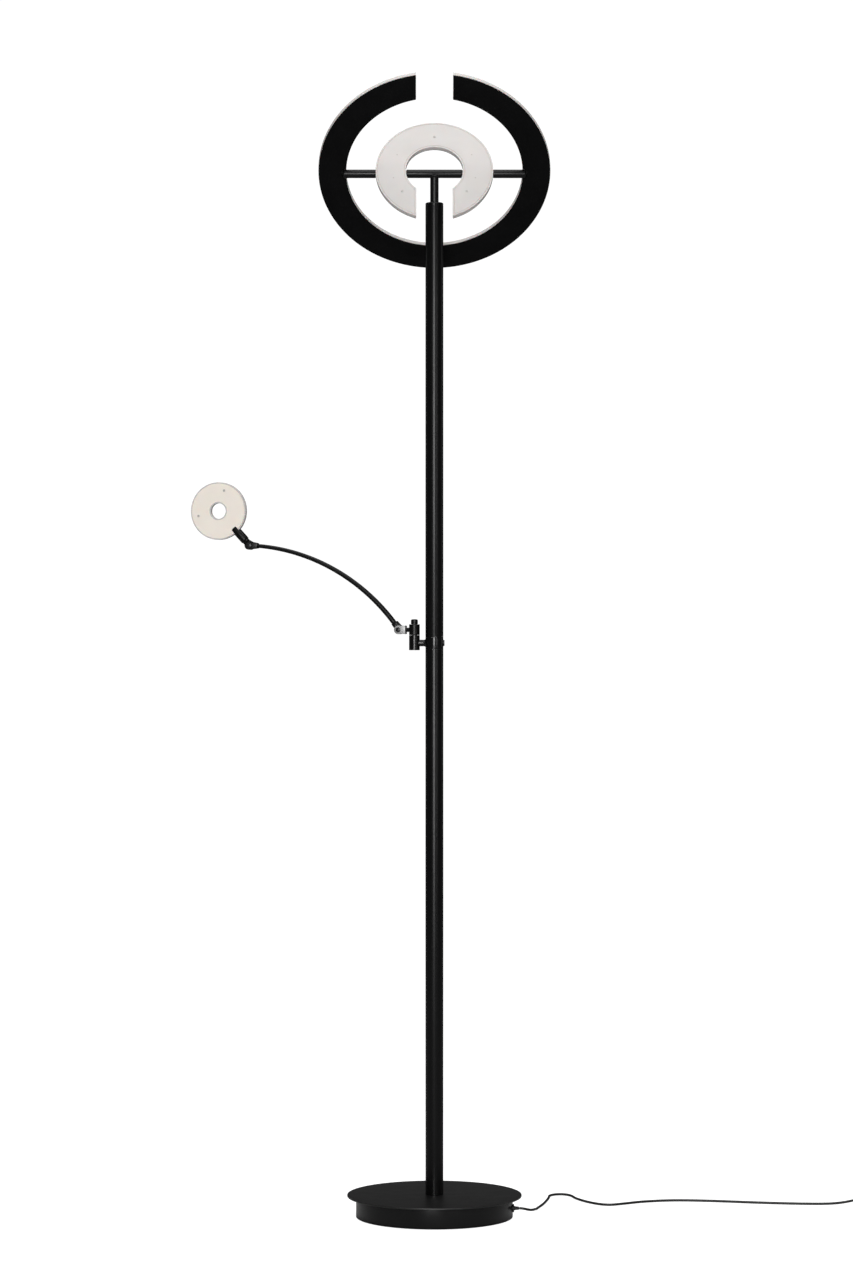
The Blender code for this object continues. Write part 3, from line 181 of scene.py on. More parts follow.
class LampColours(bpy.types.PropertyGroup):
    """Colours of the finishes."""

    black: FloatVectorProperty(name="Black paint", description="Satin coat of the metal parts",
                               default=(0.0028, 0.0028, 0.0029), subtype="COLOR")
    # Painted shade: the rings' diffuser is a darkened copy of the plastic the reading head shows.
    diffuser: FloatVectorProperty(name="Diffuser", description="Unlit translucent plastic",
                                  default=(0.53, 0.485, 0.454), subtype="COLOR")
    # Painted light: the reading head's copy of the same diffuser plastic is lightened.
    reading: FloatVectorProperty(name="Reading diffuser", description="Unlit plastic of the reading head",
                                 default=(0.92, 0.835, 0.755), subtype="COLOR")
    # Painted shading: the border and side walls are the same plastic as the face. This grey stands in for the
    # light and shade on their rounded edges.
    border: FloatVectorProperty(name="Border", description="Frame round the diffuser and its side wall",
                                default=(0.60, 0.575, 0.56), subtype="COLOR")
    # Painted reflection: the lower knuckle hub's grey stands in for the light that its face reflects.
    knuckle: FloatVectorProperty(name="Knuckle", description="Cast grey half of the lower knuckle",
                                 default=(0.37, 0.37, 0.37), subtype="COLOR")


def sizes():
    """The scene's detail sizes."""
    return bpy.context.scene.lamp_sizes


def colours():
    """The scene's finish colours."""
    return bpy.context.scene.lamp_colours


# Materials

class Surface:
    """A Principled material that is built up node by node on Object coordinates."""

    def __init__(self, name):
        self.material = bpy.data.materials.new(name)
        self.material.use_nodes = True
        self.tree = self.material.node_tree
        self.shader = self.tree.nodes["Principled BSDF"]
        self.place = self.add("ShaderNodeTexCoord").outputs["Object"]

    def add(self, kind, **values):
        """Add a node and set its sockets by name."""
        node = self.tree.nodes.new(kind)
        for key, value in values.items():
            node.inputs[key.replace("_", " ")].default_value = value
        return node

    def link(self, start, end):
        """Join two sockets."""
        self.tree.links.new(start, end)

    def set(self, **values):
        """Set the shader's own sockets."""
        for key, value in values.items():
            self.shader.inputs[key.replace("_", " ")].default_value = value

    def noise(self, scale, detail=4.0, roughness=0.55, stretch=None):
        """A noise pattern's value."""
        node = self.add("ShaderNodeTexNoise", Scale=scale, Detail=detail, Roughness=roughness)
        source = self.place
        if stretch:
            mapping = self.add("ShaderNodeMapping")
            mapping.inputs["Scale"].default_value = stretch
            self.link(self.place, mapping.inputs["Vector"])
            source = mapping.outputs["Vector"]
        self.link(source, node.inputs["Vector"])
        return node.outputs["Fac"]

    def ranged(self, value, low, high, start=0.3, end=0.7):
        """Map a pattern onto a range."""
        node = self.add("ShaderNodeMapRange", From_Min=start, From_Max=end, To_Min=low, To_Max=high)
        self.link(value, node.inputs["Value"])
        return node.outputs["Result"]

    def tint(self, value, first, second):
        """Blend two colours by a pattern into the base colour."""
        node = self.add("ShaderNodeMix")
        node.data_type = "RGBA"
        node.inputs[6].default_value = (*first, 1.0)
        node.inputs[7].default_value = (*second, 1.0)
        self.link(value, node.inputs[0])
        self.link(node.outputs[2], self.shader.inputs["Base Color"])

    def bump(self, *layers):
        """Stack bumps, each a pattern with its depth in metres."""
        normal = None
        for value, depth in layers:
            node = self.add("ShaderNodeBump", Strength=1.0, Distance=depth)
            self.link(value, node.inputs["Height"])
            if normal:
                self.link(normal, node.inputs["Normal"])
            normal = node.outputs["Normal"]
        self.link(normal, self.shader.inputs["Normal"])


def scaled(colour, factor):
    """A colour made lighter or darker."""
    return tuple(min(1.0, channel * factor) for channel in colour)


def powder_black(name, smoothest, roughest, shine):
    """Powder coat: fine orange peel, faint handling marks and a sheen."""
    surface = Surface(name)
    colour = tuple(colours().black)
    marks = surface.noise(35.0, detail=6.0)
    surface.tint(surface.ranged(marks, 0.0, 1.0), scaled(colour, 0.85), scaled(colour, 1.35))
    surface.link(surface.ranged(marks, smoothest, roughest), surface.shader.inputs["Roughness"])
    surface.set(Specular_IOR_Level=shine)
    surface.bump((surface.noise(2600.0, detail=2.0), 0.000012), (surface.noise(700.0, detail=2.0), 0.00001))
    return surface.material


def gloss_black():
    """Smoother lacquer of the base and the collar, with faint dust and rubbing marks."""
    surface = Surface("gloss_black_lacquer")
    colour = tuple(colours().black)
    marks = surface.noise(18.0, detail=7.0)
    surface.tint(surface.ranged(marks, 0.0, 1.0), scaled(colour, 0.8), scaled(colour, 1.5))
    surface.link(surface.ranged(marks, 0.16, 0.26), surface.shader.inputs["Roughness"])
    surface.set(Specular_IOR_Level=0.25, Coat_Weight=0.15, Coat_Roughness=0.12)
    surface.bump((surface.noise(900.0, detail=2.0), 0.000006))
    return surface.material


def tube_black():
    """The pole's coat, drawn out along the tube."""
    surface = Surface("pole_black_coat")
    colour = tuple(colours().black)
    streaks = surface.noise(60.0, detail=5.0, stretch=(1.0, 1.0, 0.08))
    surface.tint(surface.ranged(streaks, 0.0, 1.0), scaled(colour, 0.9), scaled(colour, 1.25))
    surface.link(surface.ranged(streaks, 0.24, 0.31), surface.shader.inputs["Roughness"])
    surface.set(Specular_IOR_Level=0.2)
    surface.bump((surface.noise(2200.0, detail=2.0), 0.00001), (streaks, 0.000008))
    return surface.material


def milky(name, colour, roughness):
    """Unlit diffusing plastic with a little light inside it."""
    surface = Surface(name)
    cloud = surface.noise(14.0, detail=3.0)
    surface.tint(surface.ranged(cloud, 0.0, 1.0), scaled(colour, 0.975), scaled(colour, 1.02))
    surface.link(surface.ranged(surface.noise(120.0), roughness - 0.04, roughness + 0.04),
                 surface.shader.inputs["Roughness"])
    surface.set(Subsurface_Weight=0.12, Subsurface_Scale=0.004, IOR=1.49, Specular_IOR_Level=0.06)
    surface.bump((surface.noise(3000.0, detail=2.0), 0.000006))
    return surface.material


def shadow_mark():
    """Painted shade: the faint grey of a fixing's shade seen through the diffuser."""
    surface = Surface("painted_shade_behind_diffuser")
    colour = scaled(tuple(colours().diffuser), 0.8)
    surface.tint(surface.ranged(surface.noise(400.0), 0.0, 1.0), scaled(colour, 0.96), scaled(colour, 1.04))
    surface.link(surface.ranged(surface.noise(120.0), 0.41, 0.49), surface.shader.inputs["Roughness"])
    return surface.material


def bare_steel():
    """Zinc-plated screw steel with fine turning marks."""
    surface = Surface("plated_steel")
    turning = surface.noise(900.0, detail=3.0)
    surface.tint(surface.ranged(turning, 0.0, 1.0), (0.34, 0.34, 0.345), (0.50, 0.50, 0.50))
    surface.link(surface.ranged(surface.noise(250.0), 0.24, 0.40), surface.shader.inputs["Roughness"])
    surface.set(Metallic=1.0)
    surface.bump((turning, 0.00001))
    return surface.material


def pale_screw():
    """Pale lacquered screw heads that show little against a diffuser."""
    surface = Surface("pale_screw_lacquer")
    turning = surface.noise(900.0, detail=3.0)
    surface.tint(surface.ranged(turning, 0.0, 1.0), (0.44, 0.42, 0.40), (0.54, 0.51, 0.49))
    surface.link(surface.ranged(surface.noise(250.0), 0.32, 0.44), surface.shader.inputs["Roughness"])
    surface.set(Metallic=0.1)
    surface.bump((turning, 0.00001))
    return surface.material


def dark_steel():
    """Blackened screw steel."""
    surface = Surface("blackened_steel")
    turning = surface.noise(900.0, detail=3.0)
    surface.tint(surface.ranged(turning, 0.0, 1.0), (0.022, 0.022, 0.024), (0.05, 0.05, 0.05))
    surface.link(surface.ranged(surface.noise(250.0), 0.25, 0.42), surface.shader.inputs["Roughness"])
    surface.set(Metallic=0.85)
    surface.bump((turning, 0.00001))
    return surface.material


def knuckle_painted_reflection():
    """Painted reflection: a grey coat with a blasted grain that stands in for the light the lower knuckle's
    hub reflects.
    """
    surface = Surface("knuckle_painted_reflection")
    colour = tuple(colours().knuckle)
    grain = surface.noise(1400.0, detail=3.0)
    surface.tint(surface.ranged(grain, 0.0, 1.0), scaled(colour, 0.85), scaled(colour, 1.15))
    surface.link(surface.ranged(surface.noise(300.0), 0.34, 0.46), surface.shader.inputs["Roughness"])
    surface.set(Metallic=0.35)
    surface.bump((grain, 0.00002))
    return surface.material


def cord_rubber():
    """Black cord jacket: soft, with a fine matt skin and faint scuffs."""
    surface = Surface("cord_jacket")
    scuffs = surface.noise(90.0, detail=6.0)
    surface.tint(surface.ranged(scuffs, 0.0, 1.0, 0.45, 0.75), (0.008, 0.008, 0.008), (0.024, 0.023, 0.022))
    surface.link(surface.ranged(scuffs, 0.42, 0.58), surface.shader.inputs["Roughness"])
    surface.bump((surface.noise(2400.0, detail=3.0), 0.00003))
    return surface.material


def foot_felt():
    """The dark pad below the base, with a short nap."""
    surface = Surface("foot_felt")
    nap = surface.noise(2200.0, detail=5.0, roughness=0.7)
    surface.tint(surface.ranged(nap, 0.0, 1.0), (0.006, 0.006, 0.006), (0.022, 0.022, 0.022))
    surface.set(Roughness=0.95, Sheen_Weight=0.3)
    surface.bump((nap, 0.0002))
    return surface.material


def rough_iron():
    """The ballast's raw casting skin."""
    surface = Surface("raw_iron")
    skin = surface.noise(240.0, detail=8.0, roughness=0.7)
    surface.tint(surface.ranged(skin, 0.0, 1.0), (0.035, 0.032, 0.03), (0.12, 0.105, 0.095))
    surface.set(Metallic=0.5, Roughness=0.75)
    surface.bump((skin, 0.0003))
    return surface.material


def plain_moulding(name, colour):
    """Fine-textured moulded plastic of the inner pieces."""
    surface = Surface(name)
    grain = surface.noise(1300.0, detail=4.0)
    surface.tint(surface.ranged(grain, 0.0, 1.0), scaled(colour, 0.93), scaled(colour, 1.05))
    surface.set(Roughness=0.5)
    surface.bump((grain, 0.00003))
    return surface.material


def turned_brass():
    """Bush metal with turning lines round the bar."""
    surface = Surface("turned_brass")
    lines = surface.noise(500.0, detail=3.0, stretch=(8.0, 1.0, 1.0))
    surface.tint(surface.ranged(lines, 0.0, 1.0), (0.50, 0.35, 0.13), (0.66, 0.47, 0.20))
    surface.set(Metallic=1.0, Roughness=0.3)
    surface.bump((lines, 0.00001))
    return surface.material


def pale_floor():
    """The plain floor of the stage: lit white for the camera, and dimmer in the lamp's reflections."""
    surface = Surface("pale_floor")
    surface.tint(surface.ranged(surface.noise(3.0), 0.0, 1.0), (0.50, 0.50, 0.50), (0.53, 0.53, 0.53))
    surface.set(Roughness=0.9, Specular_IOR_Level=0.0, Emission_Color=(1.0, 1.0, 1.0, 1.0))
    seen = surface.add("ShaderNodeLightPath")
    glow = surface.add("ShaderNodeMath")
    glow.operation = "MULTIPLY"
    glow.inputs[1].default_value = FLOOR_GLOW
    surface.link(seen.outputs["Is Camera Ray"], glow.inputs[0])
    surface.link(glow.outputs[0], surface.shader.inputs["Emission Strength"])
    return surface.material


MATERIALS = {}


def finish(name):
    """Fetch a finish, and make it the first time."""
    makers = {
        "satin": lambda: powder_black("satin_black_coat", 0.29, 0.40, 0.22),
        "matt": lambda: powder_black("matt_black_coat", 0.38, 0.48, 0.06),
        "plate": lambda: powder_black("base_black_coat", 0.34, 0.44, 0.62),
        "pale": pale_screw, "gloss": gloss_black, "tube": tube_black, "steel": bare_steel,
        "dark_steel": dark_steel, "grey": knuckle_painted_reflection, "rubber": cord_rubber, "felt": foot_felt,
        "iron": rough_iron, "brass": turned_brass, "painted_shade_mark": shadow_mark,
        # The rings' diffuser is a darkened copy (painted shade), and the reading head's is a lightened one
        # (painted light).
        "diffuser": lambda: milky("ring_diffuser_painted_shade", tuple(colours().diffuser), 0.42),
        "reading_painted_light": lambda: milky("reading_diffuser", tuple(colours().reading), 0.42),
        "border": lambda: milky("diffuser_edge_painted_shading", tuple(colours().border), 0.5),
        "board": lambda: plain_moulding("white_board", (0.78, 0.78, 0.75)),
        "white": lambda: plain_moulding("white_moulding", (0.72, 0.72, 0.70)),
        "black_plastic": lambda: plain_moulding("black_moulding", (0.012, 0.012, 0.012)),
    }
    if name not in MATERIALS:
        MATERIALS[name] = makers[name]()
    return MATERIALS[name]


# Mesh helpers

def ring_of(radius, facets, start=0.0):
    """Points round a circle."""
    steps = [start + math.tau * k / facets for k in range(facets)]
    return [(radius * math.cos(t), radius * math.sin(t)) for t in steps]


def arc(radius, start, end, pieces):
    """Points along an arc round the origin."""
    steps = [start + (end - start) * k / pieces for k in range(pieces + 1)]
    return [(radius * math.cos(t), radius * math.sin(t)) for t in steps]


def stacked(loops, closed_ends=True):
    """Bridge outlines with the same number of points into a skin. Each loop is a list of (x, y, z)."""
    shape = bmesh.new()
    rows = [[shape.verts.new(point) for point in loop] for loop in loops]
    count = len(rows[0])
    for lower, upper in zip(rows, rows[1:]):
        for k in range(count):
            after = (k + 1) % count
            shape.faces.new((lower[k], lower[after], upper[after], upper[k]))
    if closed_ends:
        shape.faces.new(rows[0])
        shape.faces.new(rows[-1])
    else:
        for k in range(count):
            after = (k + 1) % count
            shape.faces.new((rows[-1][k], rows[-1][after], rows[0][after], rows[0][k]))
    bmesh.ops.recalc_face_normals(shape, faces=shape.faces)
    return shape


def turned(profile, facets=ROUND_FACETS):
    """Turn (radius, height) points about Z into a solid with flat ends."""
    return stacked([[(x, y, height) for x, y in ring_of(radius, facets)] for radius, height in profile])


def turned_ring(profile, facets=ROUND_FACETS):
    """Turn a closed section of (radius, height) points about Z."""
    loops = [[(x, y, height) for x, y in ring_of(radius, facets)] for radius, height in profile]
    return stacked(loops, closed_ends=False)


def rounded(profile, edge, pieces=4):
    """Round the corners of an outline of (radius, height) points that are marked with True."""
    points = []
    count = len(profile)
    for k, (radius, height, soft) in enumerate(profile):
        if not soft:
            points.append((radius, height))
            continue
        here = Vector((radius, height))
        before = Vector(profile[k - 1][:2])
        after = Vector(profile[(k + 1) % count][:2])
        reach = min(edge, (before - here).length * 0.45, (after - here).length * 0.45)
        start = here + (before - here).normalized() * reach
        end = here + (after - here).normalized() * reach
        for step in range(pieces + 1):
            t = step / pieces
            point = start * (1 - t) ** 2 + here * 2 * t * (1 - t) + end * t ** 2
            points.append((point.x, point.y))
    return points


def along_x():
    """Turns +Z to +X."""
    return Matrix.Rotation(math.radians(90), 4, "Y")


def along_y():
    """Turns +Z to +Y."""
    return Matrix.Rotation(math.radians(-90), 4, "X")


def upright():
    """Turns +Y to +Z and +Z to -Y."""
    return Matrix.Rotation(math.radians(90), 4, "X")


def piece(name, shape, place, finishes, body, nodes=(), sharp=32):
    """Make one visible piece in the model's frame, hang it on the body it rides on, and hide the solids it
    stands for.
    """
    shape.transform(place)
    mesh = bpy.data.meshes.new(name)
    shape.to_mesh(mesh)
    shape.free()
    mesh.shade_smooth()
    mesh.set_sharp_from_angle(angle=math.radians(sharp))
    for key in finishes:
        mesh.materials.append(finish(key))
    obj = bpy.data.objects.new(name, mesh)
    bpy.context.scene.collection.objects.link(obj)
    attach(obj, body)
    if nodes:
        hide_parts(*nodes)
    return obj


def joined(shapes):
    """Put several skins in one mesh."""
    whole = bmesh.new()
    for shape in shapes:
        mesh = bpy.data.meshes.new("joined")
        shape.to_mesh(mesh)
        shape.free()
        whole.from_mesh(mesh)
        bpy.data.meshes.remove(mesh)
    return whole


def carved(shape, tool, operation="DIFFERENCE"):
    """Cut one skin by another, or weld them, and return the result."""
    objects = []
    for source in (shape, tool):
        mesh = bpy.data.meshes.new("carving")
        source.to_mesh(mesh)
        source.free()
        obj = bpy.data.objects.new("carving", mesh)
        bpy.context.scene.collection.objects.link(obj)
        objects.append(obj)
    modifier = objects[0].modifiers.new("carve", "BOOLEAN")
    modifier.operation = operation
    modifier.solver = "MANIFOLD"
    modifier.object = objects[1]
    evaluated = objects[0].evaluated_get(bpy.context.evaluated_depsgraph_get())
    mesh = bpy.data.meshes.new_from_object(evaluated)
    result = bmesh.new()
    result.from_mesh(mesh)
    bpy.data.meshes.remove(mesh)
    for obj in objects:
        data = obj.data
        bpy.data.objects.remove(obj)
        bpy.data.meshes.remove(data)
    return result


def softened(shape, width, segments=3):
    """Round the sharp edges of a skin."""
    shape.normal_update()
    bmesh.ops.remove_doubles(shape, verts=shape.verts, dist=0.000002)
    sharp = [e for e in shape.edges if len(e.link_faces) == 2 and e.calc_face_angle() > math.radians(40)]
    bmesh.ops.bevel(shape, geom=sharp, offset=width, segments=segments, profile=0.5, affect="EDGES",
                    clamp_overlap=True)
    return shape


def box_shape(low, high):
    """A box between two corners."""
    outline = [(low[0], low[1]), (high[0], low[1]), (high[0], high[1]), (low[0], high[1])]
    return stacked([[(x, y, low[2]) for x, y in outline], [(x, y, high[2]) for x, y in outline]])


def prism(outline, low, high):
    """An outline drawn up along Z."""
    return stacked([[(x, y, low) for x, y in outline], [(x, y, high) for x, y in outline]])


# Geometry Nodes: screws and marks set out on points

def socket(tree, name, kind, default=None):
    """Add a named input to a tree and return its identifier."""
    item = tree.interface.new_socket(name, in_out="INPUT", socket_type=kind)
    if default is not None:
        item.default_value = default
    return item.identifier


def fastener_tree(name, recess):
    """A tree that sets a rounded screw head, with a cross or slot cut in it, on every point."""
    tree = bpy.data.node_groups.new(name, "GeometryNodeTree")
    names = {}
    names["points"] = socket(tree, "Places", "NodeSocketGeometry")
    names["radius"] = socket(tree, "Head radius", "NodeSocketFloat", 0.002)
    names["height"] = socket(tree, "Head height", "NodeSocketFloat", 0.0008)
    names["turn"] = socket(tree, "Turn", "NodeSocketRotation")
    names["finish"] = socket(tree, "Finish", "NodeSocketMaterial")
    tree.interface.new_socket("Screws", in_out="OUTPUT", socket_type="NodeSocketGeometry")
    nodes, links = tree.nodes, tree.links
    given = nodes.new("NodeGroupInput")
    result = nodes.new("NodeGroupOutput")

    def maths(operation, first, second):
        node = nodes.new("ShaderNodeMath")
        node.operation = operation
        for index, value in enumerate((first, second)):
            if isinstance(value, (int, float)):
                node.inputs[index].default_value = value
            else:
                links.new(value, node.inputs[index])
        return node.outputs[0]

    def solid(kind, **sockets):
        node = nodes.new(kind)
        for key, value in sockets.items():
            target = node.inputs[key.replace("_", " ")]
            if isinstance(value, (int, float)):
                target.default_value = value
            else:
                links.new(value, target)
        return node.outputs["Mesh"]

    radius, height = given.outputs["Head radius"], given.outputs["Head height"]
    lower = solid("GeometryNodeMeshCone", Vertices=SMALL_FACETS, Radius_Bottom=radius,
                  Radius_Top=radius, Depth=maths("MULTIPLY", height, 0.55))
    upper = solid("GeometryNodeMeshCone", Vertices=SMALL_FACETS, Radius_Bottom=radius,
                  Radius_Top=maths("MULTIPLY", radius, 0.78), Depth=maths("MULTIPLY", height, 0.45))
    lift = nodes.new("GeometryNodeTransform")
    combine = nodes.new("ShaderNodeCombineXYZ")
    links.new(maths("MULTIPLY", height, 0.55), combine.inputs["Z"])
    links.new(upper, lift.inputs["Geometry"])
    links.new(combine.outputs[0], lift.inputs["Translation"])
    head = nodes.new("GeometryNodeMeshBoolean")
    head.operation = "UNION"
    head.solver = "MANIFOLD"
    links.new(lower, head.inputs["Mesh 2"])
    links.new(lift.outputs[0], head.inputs["Mesh 2"])
    cutters = []
    for turn in ((0,) if recess == "slot" else (0, 1)):
        cube = nodes.new("GeometryNodeMeshCube")
        size = nodes.new("ShaderNodeCombineXYZ")
        long, short = ("X", "Y") if turn == 0 else ("Y", "X")
        links.new(maths("MULTIPLY", radius, 2.4 if recess == "slot" else 1.2), size.inputs[long])
        links.new(maths("MULTIPLY", radius, 0.28), size.inputs[short])
        links.new(maths("MULTIPLY", height, 2.0), size.inputs["Z"])
        links.new(size.outputs[0], cube.inputs["Size"])
        cutters.append(cube.outputs["Mesh"])
    cut = nodes.new("GeometryNodeMeshBoolean")
    cut.operation = "DIFFERENCE"
    cut.solver = "MANIFOLD"
    links.new(head.outputs["Mesh"], cut.inputs["Mesh 1"])
    for cutter in cutters:
        sink = nodes.new("GeometryNodeTransform")
        offset = nodes.new("ShaderNodeCombineXYZ")
        links.new(maths("MULTIPLY", height, 1.45), offset.inputs["Z"])
        links.new(cutter, sink.inputs["Geometry"])
        links.new(offset.outputs[0], sink.inputs["Translation"])
        links.new(sink.outputs[0], cut.inputs["Mesh 2"])
    spread = nodes.new("GeometryNodeInstanceOnPoints")
    links.new(given.outputs["Places"], spread.inputs["Points"])
    links.new(cut.outputs["Mesh"], spread.inputs["Instance"])
    links.new(given.outputs["Turn"], spread.inputs["Rotation"])
    real = nodes.new("GeometryNodeRealizeInstances")
    links.new(spread.outputs[0], real.inputs[0])
    paint = nodes.new("GeometryNodeSetMaterial")
    links.new(real.outputs[0], paint.inputs["Geometry"])
    links.new(given.outputs["Finish"], paint.inputs["Material"])
    links.new(paint.outputs[0], result.inputs[0])
    return tree, names


TREES = {}


def fasteners(name, recess, places, direction, radius, height, key, body, nodes=()):
    """Set screw heads out on places with the nodes tree, and keep the result as a plain mesh."""
    if recess not in TREES:
        TREES[recess] = fastener_tree(f"{recess}_screws", recess)
    tree, names = TREES[recess]
    mesh = bpy.data.meshes.new(name)
    mesh.from_pydata([tuple(place) for place in places], [], [])
    obj = bpy.data.objects.new(name, mesh)
    bpy.context.scene.collection.objects.link(obj)
    modifier = obj.modifiers.new("screws", "NODES")
    modifier.node_group = tree
    modifier[names["radius"]] = radius
    modifier[names["height"]] = height
    modifier[names["turn"]] = direction.to_track_quat("Z", "X").to_euler()
    modifier[names["finish"]] = finish(key)
    evaluated = obj.evaluated_get(bpy.context.evaluated_depsgraph_get())
    made = bpy.data.meshes.new_from_object(evaluated)
    obj.modifiers.remove(modifier)
    obj.data = made
    bpy.data.meshes.remove(mesh)
    if not made.polygons:
        raise RuntimeError(f"{name} came out empty")
    made.name = name
    made.shade_smooth()
    made.set_sharp_from_angle(angle=math.radians(32))
    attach(obj, body)
    if nodes:
        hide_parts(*nodes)
    return obj


# Stage

# Camera: lens and sensor height in millimetres
LENS = 96.35625
SENSOR = 36.0
EYE = Vector((-0.01245, -5.4, 0.909))
ROOM_LIGHT = 0.08
FLOOR_GLOW = 0.98
SOFTBOXES = (
    ("front_softbox", (-0.5, -6.4, 1.7), (1.5, 2.6), 230.0),
    ("right_softbox", (3.0, -5.0, 1.6), (0.6, 2.4), 24.0),
    ("left_rear_softbox", (-3.6, 2.6, 1.8), (0.5, 2.4), 2.0),
    ("right_rear_softbox", (3.6, 1.4, 1.8), (0.5, 2.4), 3.0),
    ("top_softbox", (0.0, -0.6, 4.2), (3.0, 3.0), 85.0),
)


def area_light(name, place, aim, size, power):
    """A soft rectangular light that looks at a point."""
    light = bpy.data.lights.new(name, "AREA")
    light.shape = "RECTANGLE"
    light.size, light.size_y = size
    light.energy = power
    obj = bpy.data.objects.new(name, light)
    obj.location = place
    obj.rotation_euler = (Vector(aim) - Vector(place)).to_track_quat("-Z", "Y").to_euler()
    bpy.context.scene.collection.objects.link(obj)


class LAMP_OT_stage(bpy.types.Operator):
    """Set the camera, the pale floor and the soft lights"""

    bl_idname = "lamp.stage"
    bl_label = "Stage"

    def execute(self, context):
        camera_data = bpy.data.cameras.new("camera")
        camera_data.sensor_fit = "VERTICAL"
        camera_data.sensor_height = SENSOR
        camera_data.lens = LENS
        camera = bpy.data.objects.new("camera", camera_data)
        camera.location = EYE
        camera.rotation_euler = (math.radians(90), 0.0, 0.0)
        context.scene.collection.objects.link(camera)
        context.scene.camera = camera
        context.scene.view_settings.view_transform = "Standard"
        context.scene.world = self.room()
        half = 12.0
        depth = 0.0006
        shape = box_shape((-half, -half, -depth - 0.02), (half, half, -depth))
        mesh = bpy.data.meshes.new("floor")
        shape.to_mesh(mesh)
        shape.free()
        mesh.materials.append(pale_floor())
        floor = bpy.data.objects.new("floor", mesh)
        context.scene.collection.objects.link(floor)
        for name, place, size, power in SOFTBOXES:
            area_light(name, place, (0.0, 0.0, 0.85), size, power)
        return {"FINISHED"}

    def room(self):
        """A white backdrop for the camera, and a dim room for everything else."""
        world = bpy.data.worlds.new("studio_room")
        world.use_nodes = True
        nodes, links = world.node_tree.nodes, world.node_tree.links
        dim = nodes["Background"]
        dim.inputs["Color"].default_value = (1.0, 1.0, 1.0, 1.0)
        dim.inputs["Strength"].default_value = ROOM_LIGHT
        backdrop = nodes.new("ShaderNodeBackground")
        backdrop.inputs["Color"].default_value = (1.0, 1.0, 1.0, 1.0)
        backdrop.inputs["Strength"].default_value = 1.05
        seen = nodes.new("ShaderNodeLightPath")
        choice = nodes.new("ShaderNodeMixShader")
        links.new(seen.outputs["Is Camera Ray"], choice.inputs[0])
        links.new(dim.outputs[0], choice.inputs[1])
        links.new(backdrop.outputs[0], choice.inputs[2])
        links.new(choice.outputs[0], nodes["World Output"].inputs["Surface"])
        return world


# Cord

CORD_LEAD = 0.005
CORD_ROUTE = (
    (0.1465, -0.0098, 0.0130),
    (0.1520, -0.0040, 0.0113),
    (0.1558, 0.0050, 0.0102),
    (0.1582, 0.0160, 0.0090),
    (0.1600, 0.0300, 0.0070),
    (0.1622, 0.0480, 0.0045),
    (0.1650, 0.0680, 0.0026),
    (0.1700, 0.0900, 0.0020),
    (0.1755, 0.1110, 0.0020),
    (0.1830, 0.1500, 0.0020),
    (0.1868, 0.1765, 0.0020),
    (0.1885, 0.1930, 0.0020),
    (0.1990, 0.2060, 0.0020),
    (0.2130, 0.2060, 0.0020),
    (0.2235, 0.1930, 0.0020),
    (0.2290, 0.1700, 0.0020),
    (0.2395, 0.1450, 0.0020),
    (0.2530, 0.1230, 0.0020),
    (0.2680, 0.1070, 0.0020),
    (0.2830, 0.1020, 0.0020),
    (0.3040, 0.1130, 0.0020),
    (0.3400, 0.1340, 0.0020),
    (0.3900, 0.1460, 0.0020),
    (0.4500, 0.1400, 0.0020),
    (0.5200, 0.1240, 0.0020),
    (0.5900, 0.1130, 0.0020),
    (0.6350, 0.1120, 0.0022),
    (0.6600, 0.1140, 0.0042),
    (0.6800, 0.1165, 0.0078),
)
COIL_LAYERS = (((0, 1, 2), 2), ((2, 1, 0), 1), ((0, 1, 2), 0))
COIL_TURNS = 8.25
COIL_STEPS = 16
COIL_SHIFT_START = 0.62
# Straight run up to the coil, and the spacing of the cord's sections
COIL_APPROACH = (0.0235, 0.015, 0.007)
CORD_SPACING = 0.0025
CORD_EASING = 6
# The tie's bearing round the coil in degrees, and half its width
TIE_BEARING = 215
TIE_HALF_WIDTH = 0.0045


def coil_points(low, high):
    """The coil's turns, laid beside and on each other and wound clockwise from the far side."""
    radius = sizes().cord_radius
    centre = (low + high) / 2
    innermost = (high.x - low.x) / 2 - 5 * radius
    rows = [(innermost + 2 * radius * column, low.z + radius * (1 + 2 * layer))
            for columns, layer in COIL_LAYERS for column in columns]
    points = []
    for k in range(int(COIL_TURNS * COIL_STEPS) + 1):
        turn, share = divmod(k / COIL_STEPS, 1.0)
        here = rows[int(turn)]
        after = rows[min(int(turn) + 1, len(rows) - 1)]
        t = max(0.0, (share - COIL_SHIFT_START) / (1 - COIL_SHIFT_START))
        blend = t * t * (3 - 2 * t)
        reach = here[0] + (after[0] - here[0]) * blend
        height = here[1] + (after[1] - here[1]) * blend
        bearing = math.radians(90) - math.tau * k / COIL_STEPS
        x = centre.x + reach * math.cos(bearing)
        y = centre.y + reach * math.sin(bearing)
        points.append(Vector((x, y, height)))
    return points


def polyline_length(points):
    """The length of a run of points."""
    return sum((b - a).length for a, b in zip(points, points[1:]))


def smooth_route(points, pieces):
    """Read a Catmull-Rom curve through points, a few to each stretch."""
    route = [Vector(point) for point in points]
    ends = [2 * route[0] - route[1]] + route + [2 * route[-1] - route[-2]]
    fine = []
    for before, start, end, after in zip(ends, ends[1:], ends[2:], ends[3:]):
        for k in range(pieces):
            t = k / pieces
            fine.append(0.5 * (2 * start + (end - before) * t
                               + (2 * before - 5 * start + 4 * end - after) * t ** 2
                               + (3 * start - before - 3 * end + after) * t ** 3))
    fine.append(route[-1])
    return fine


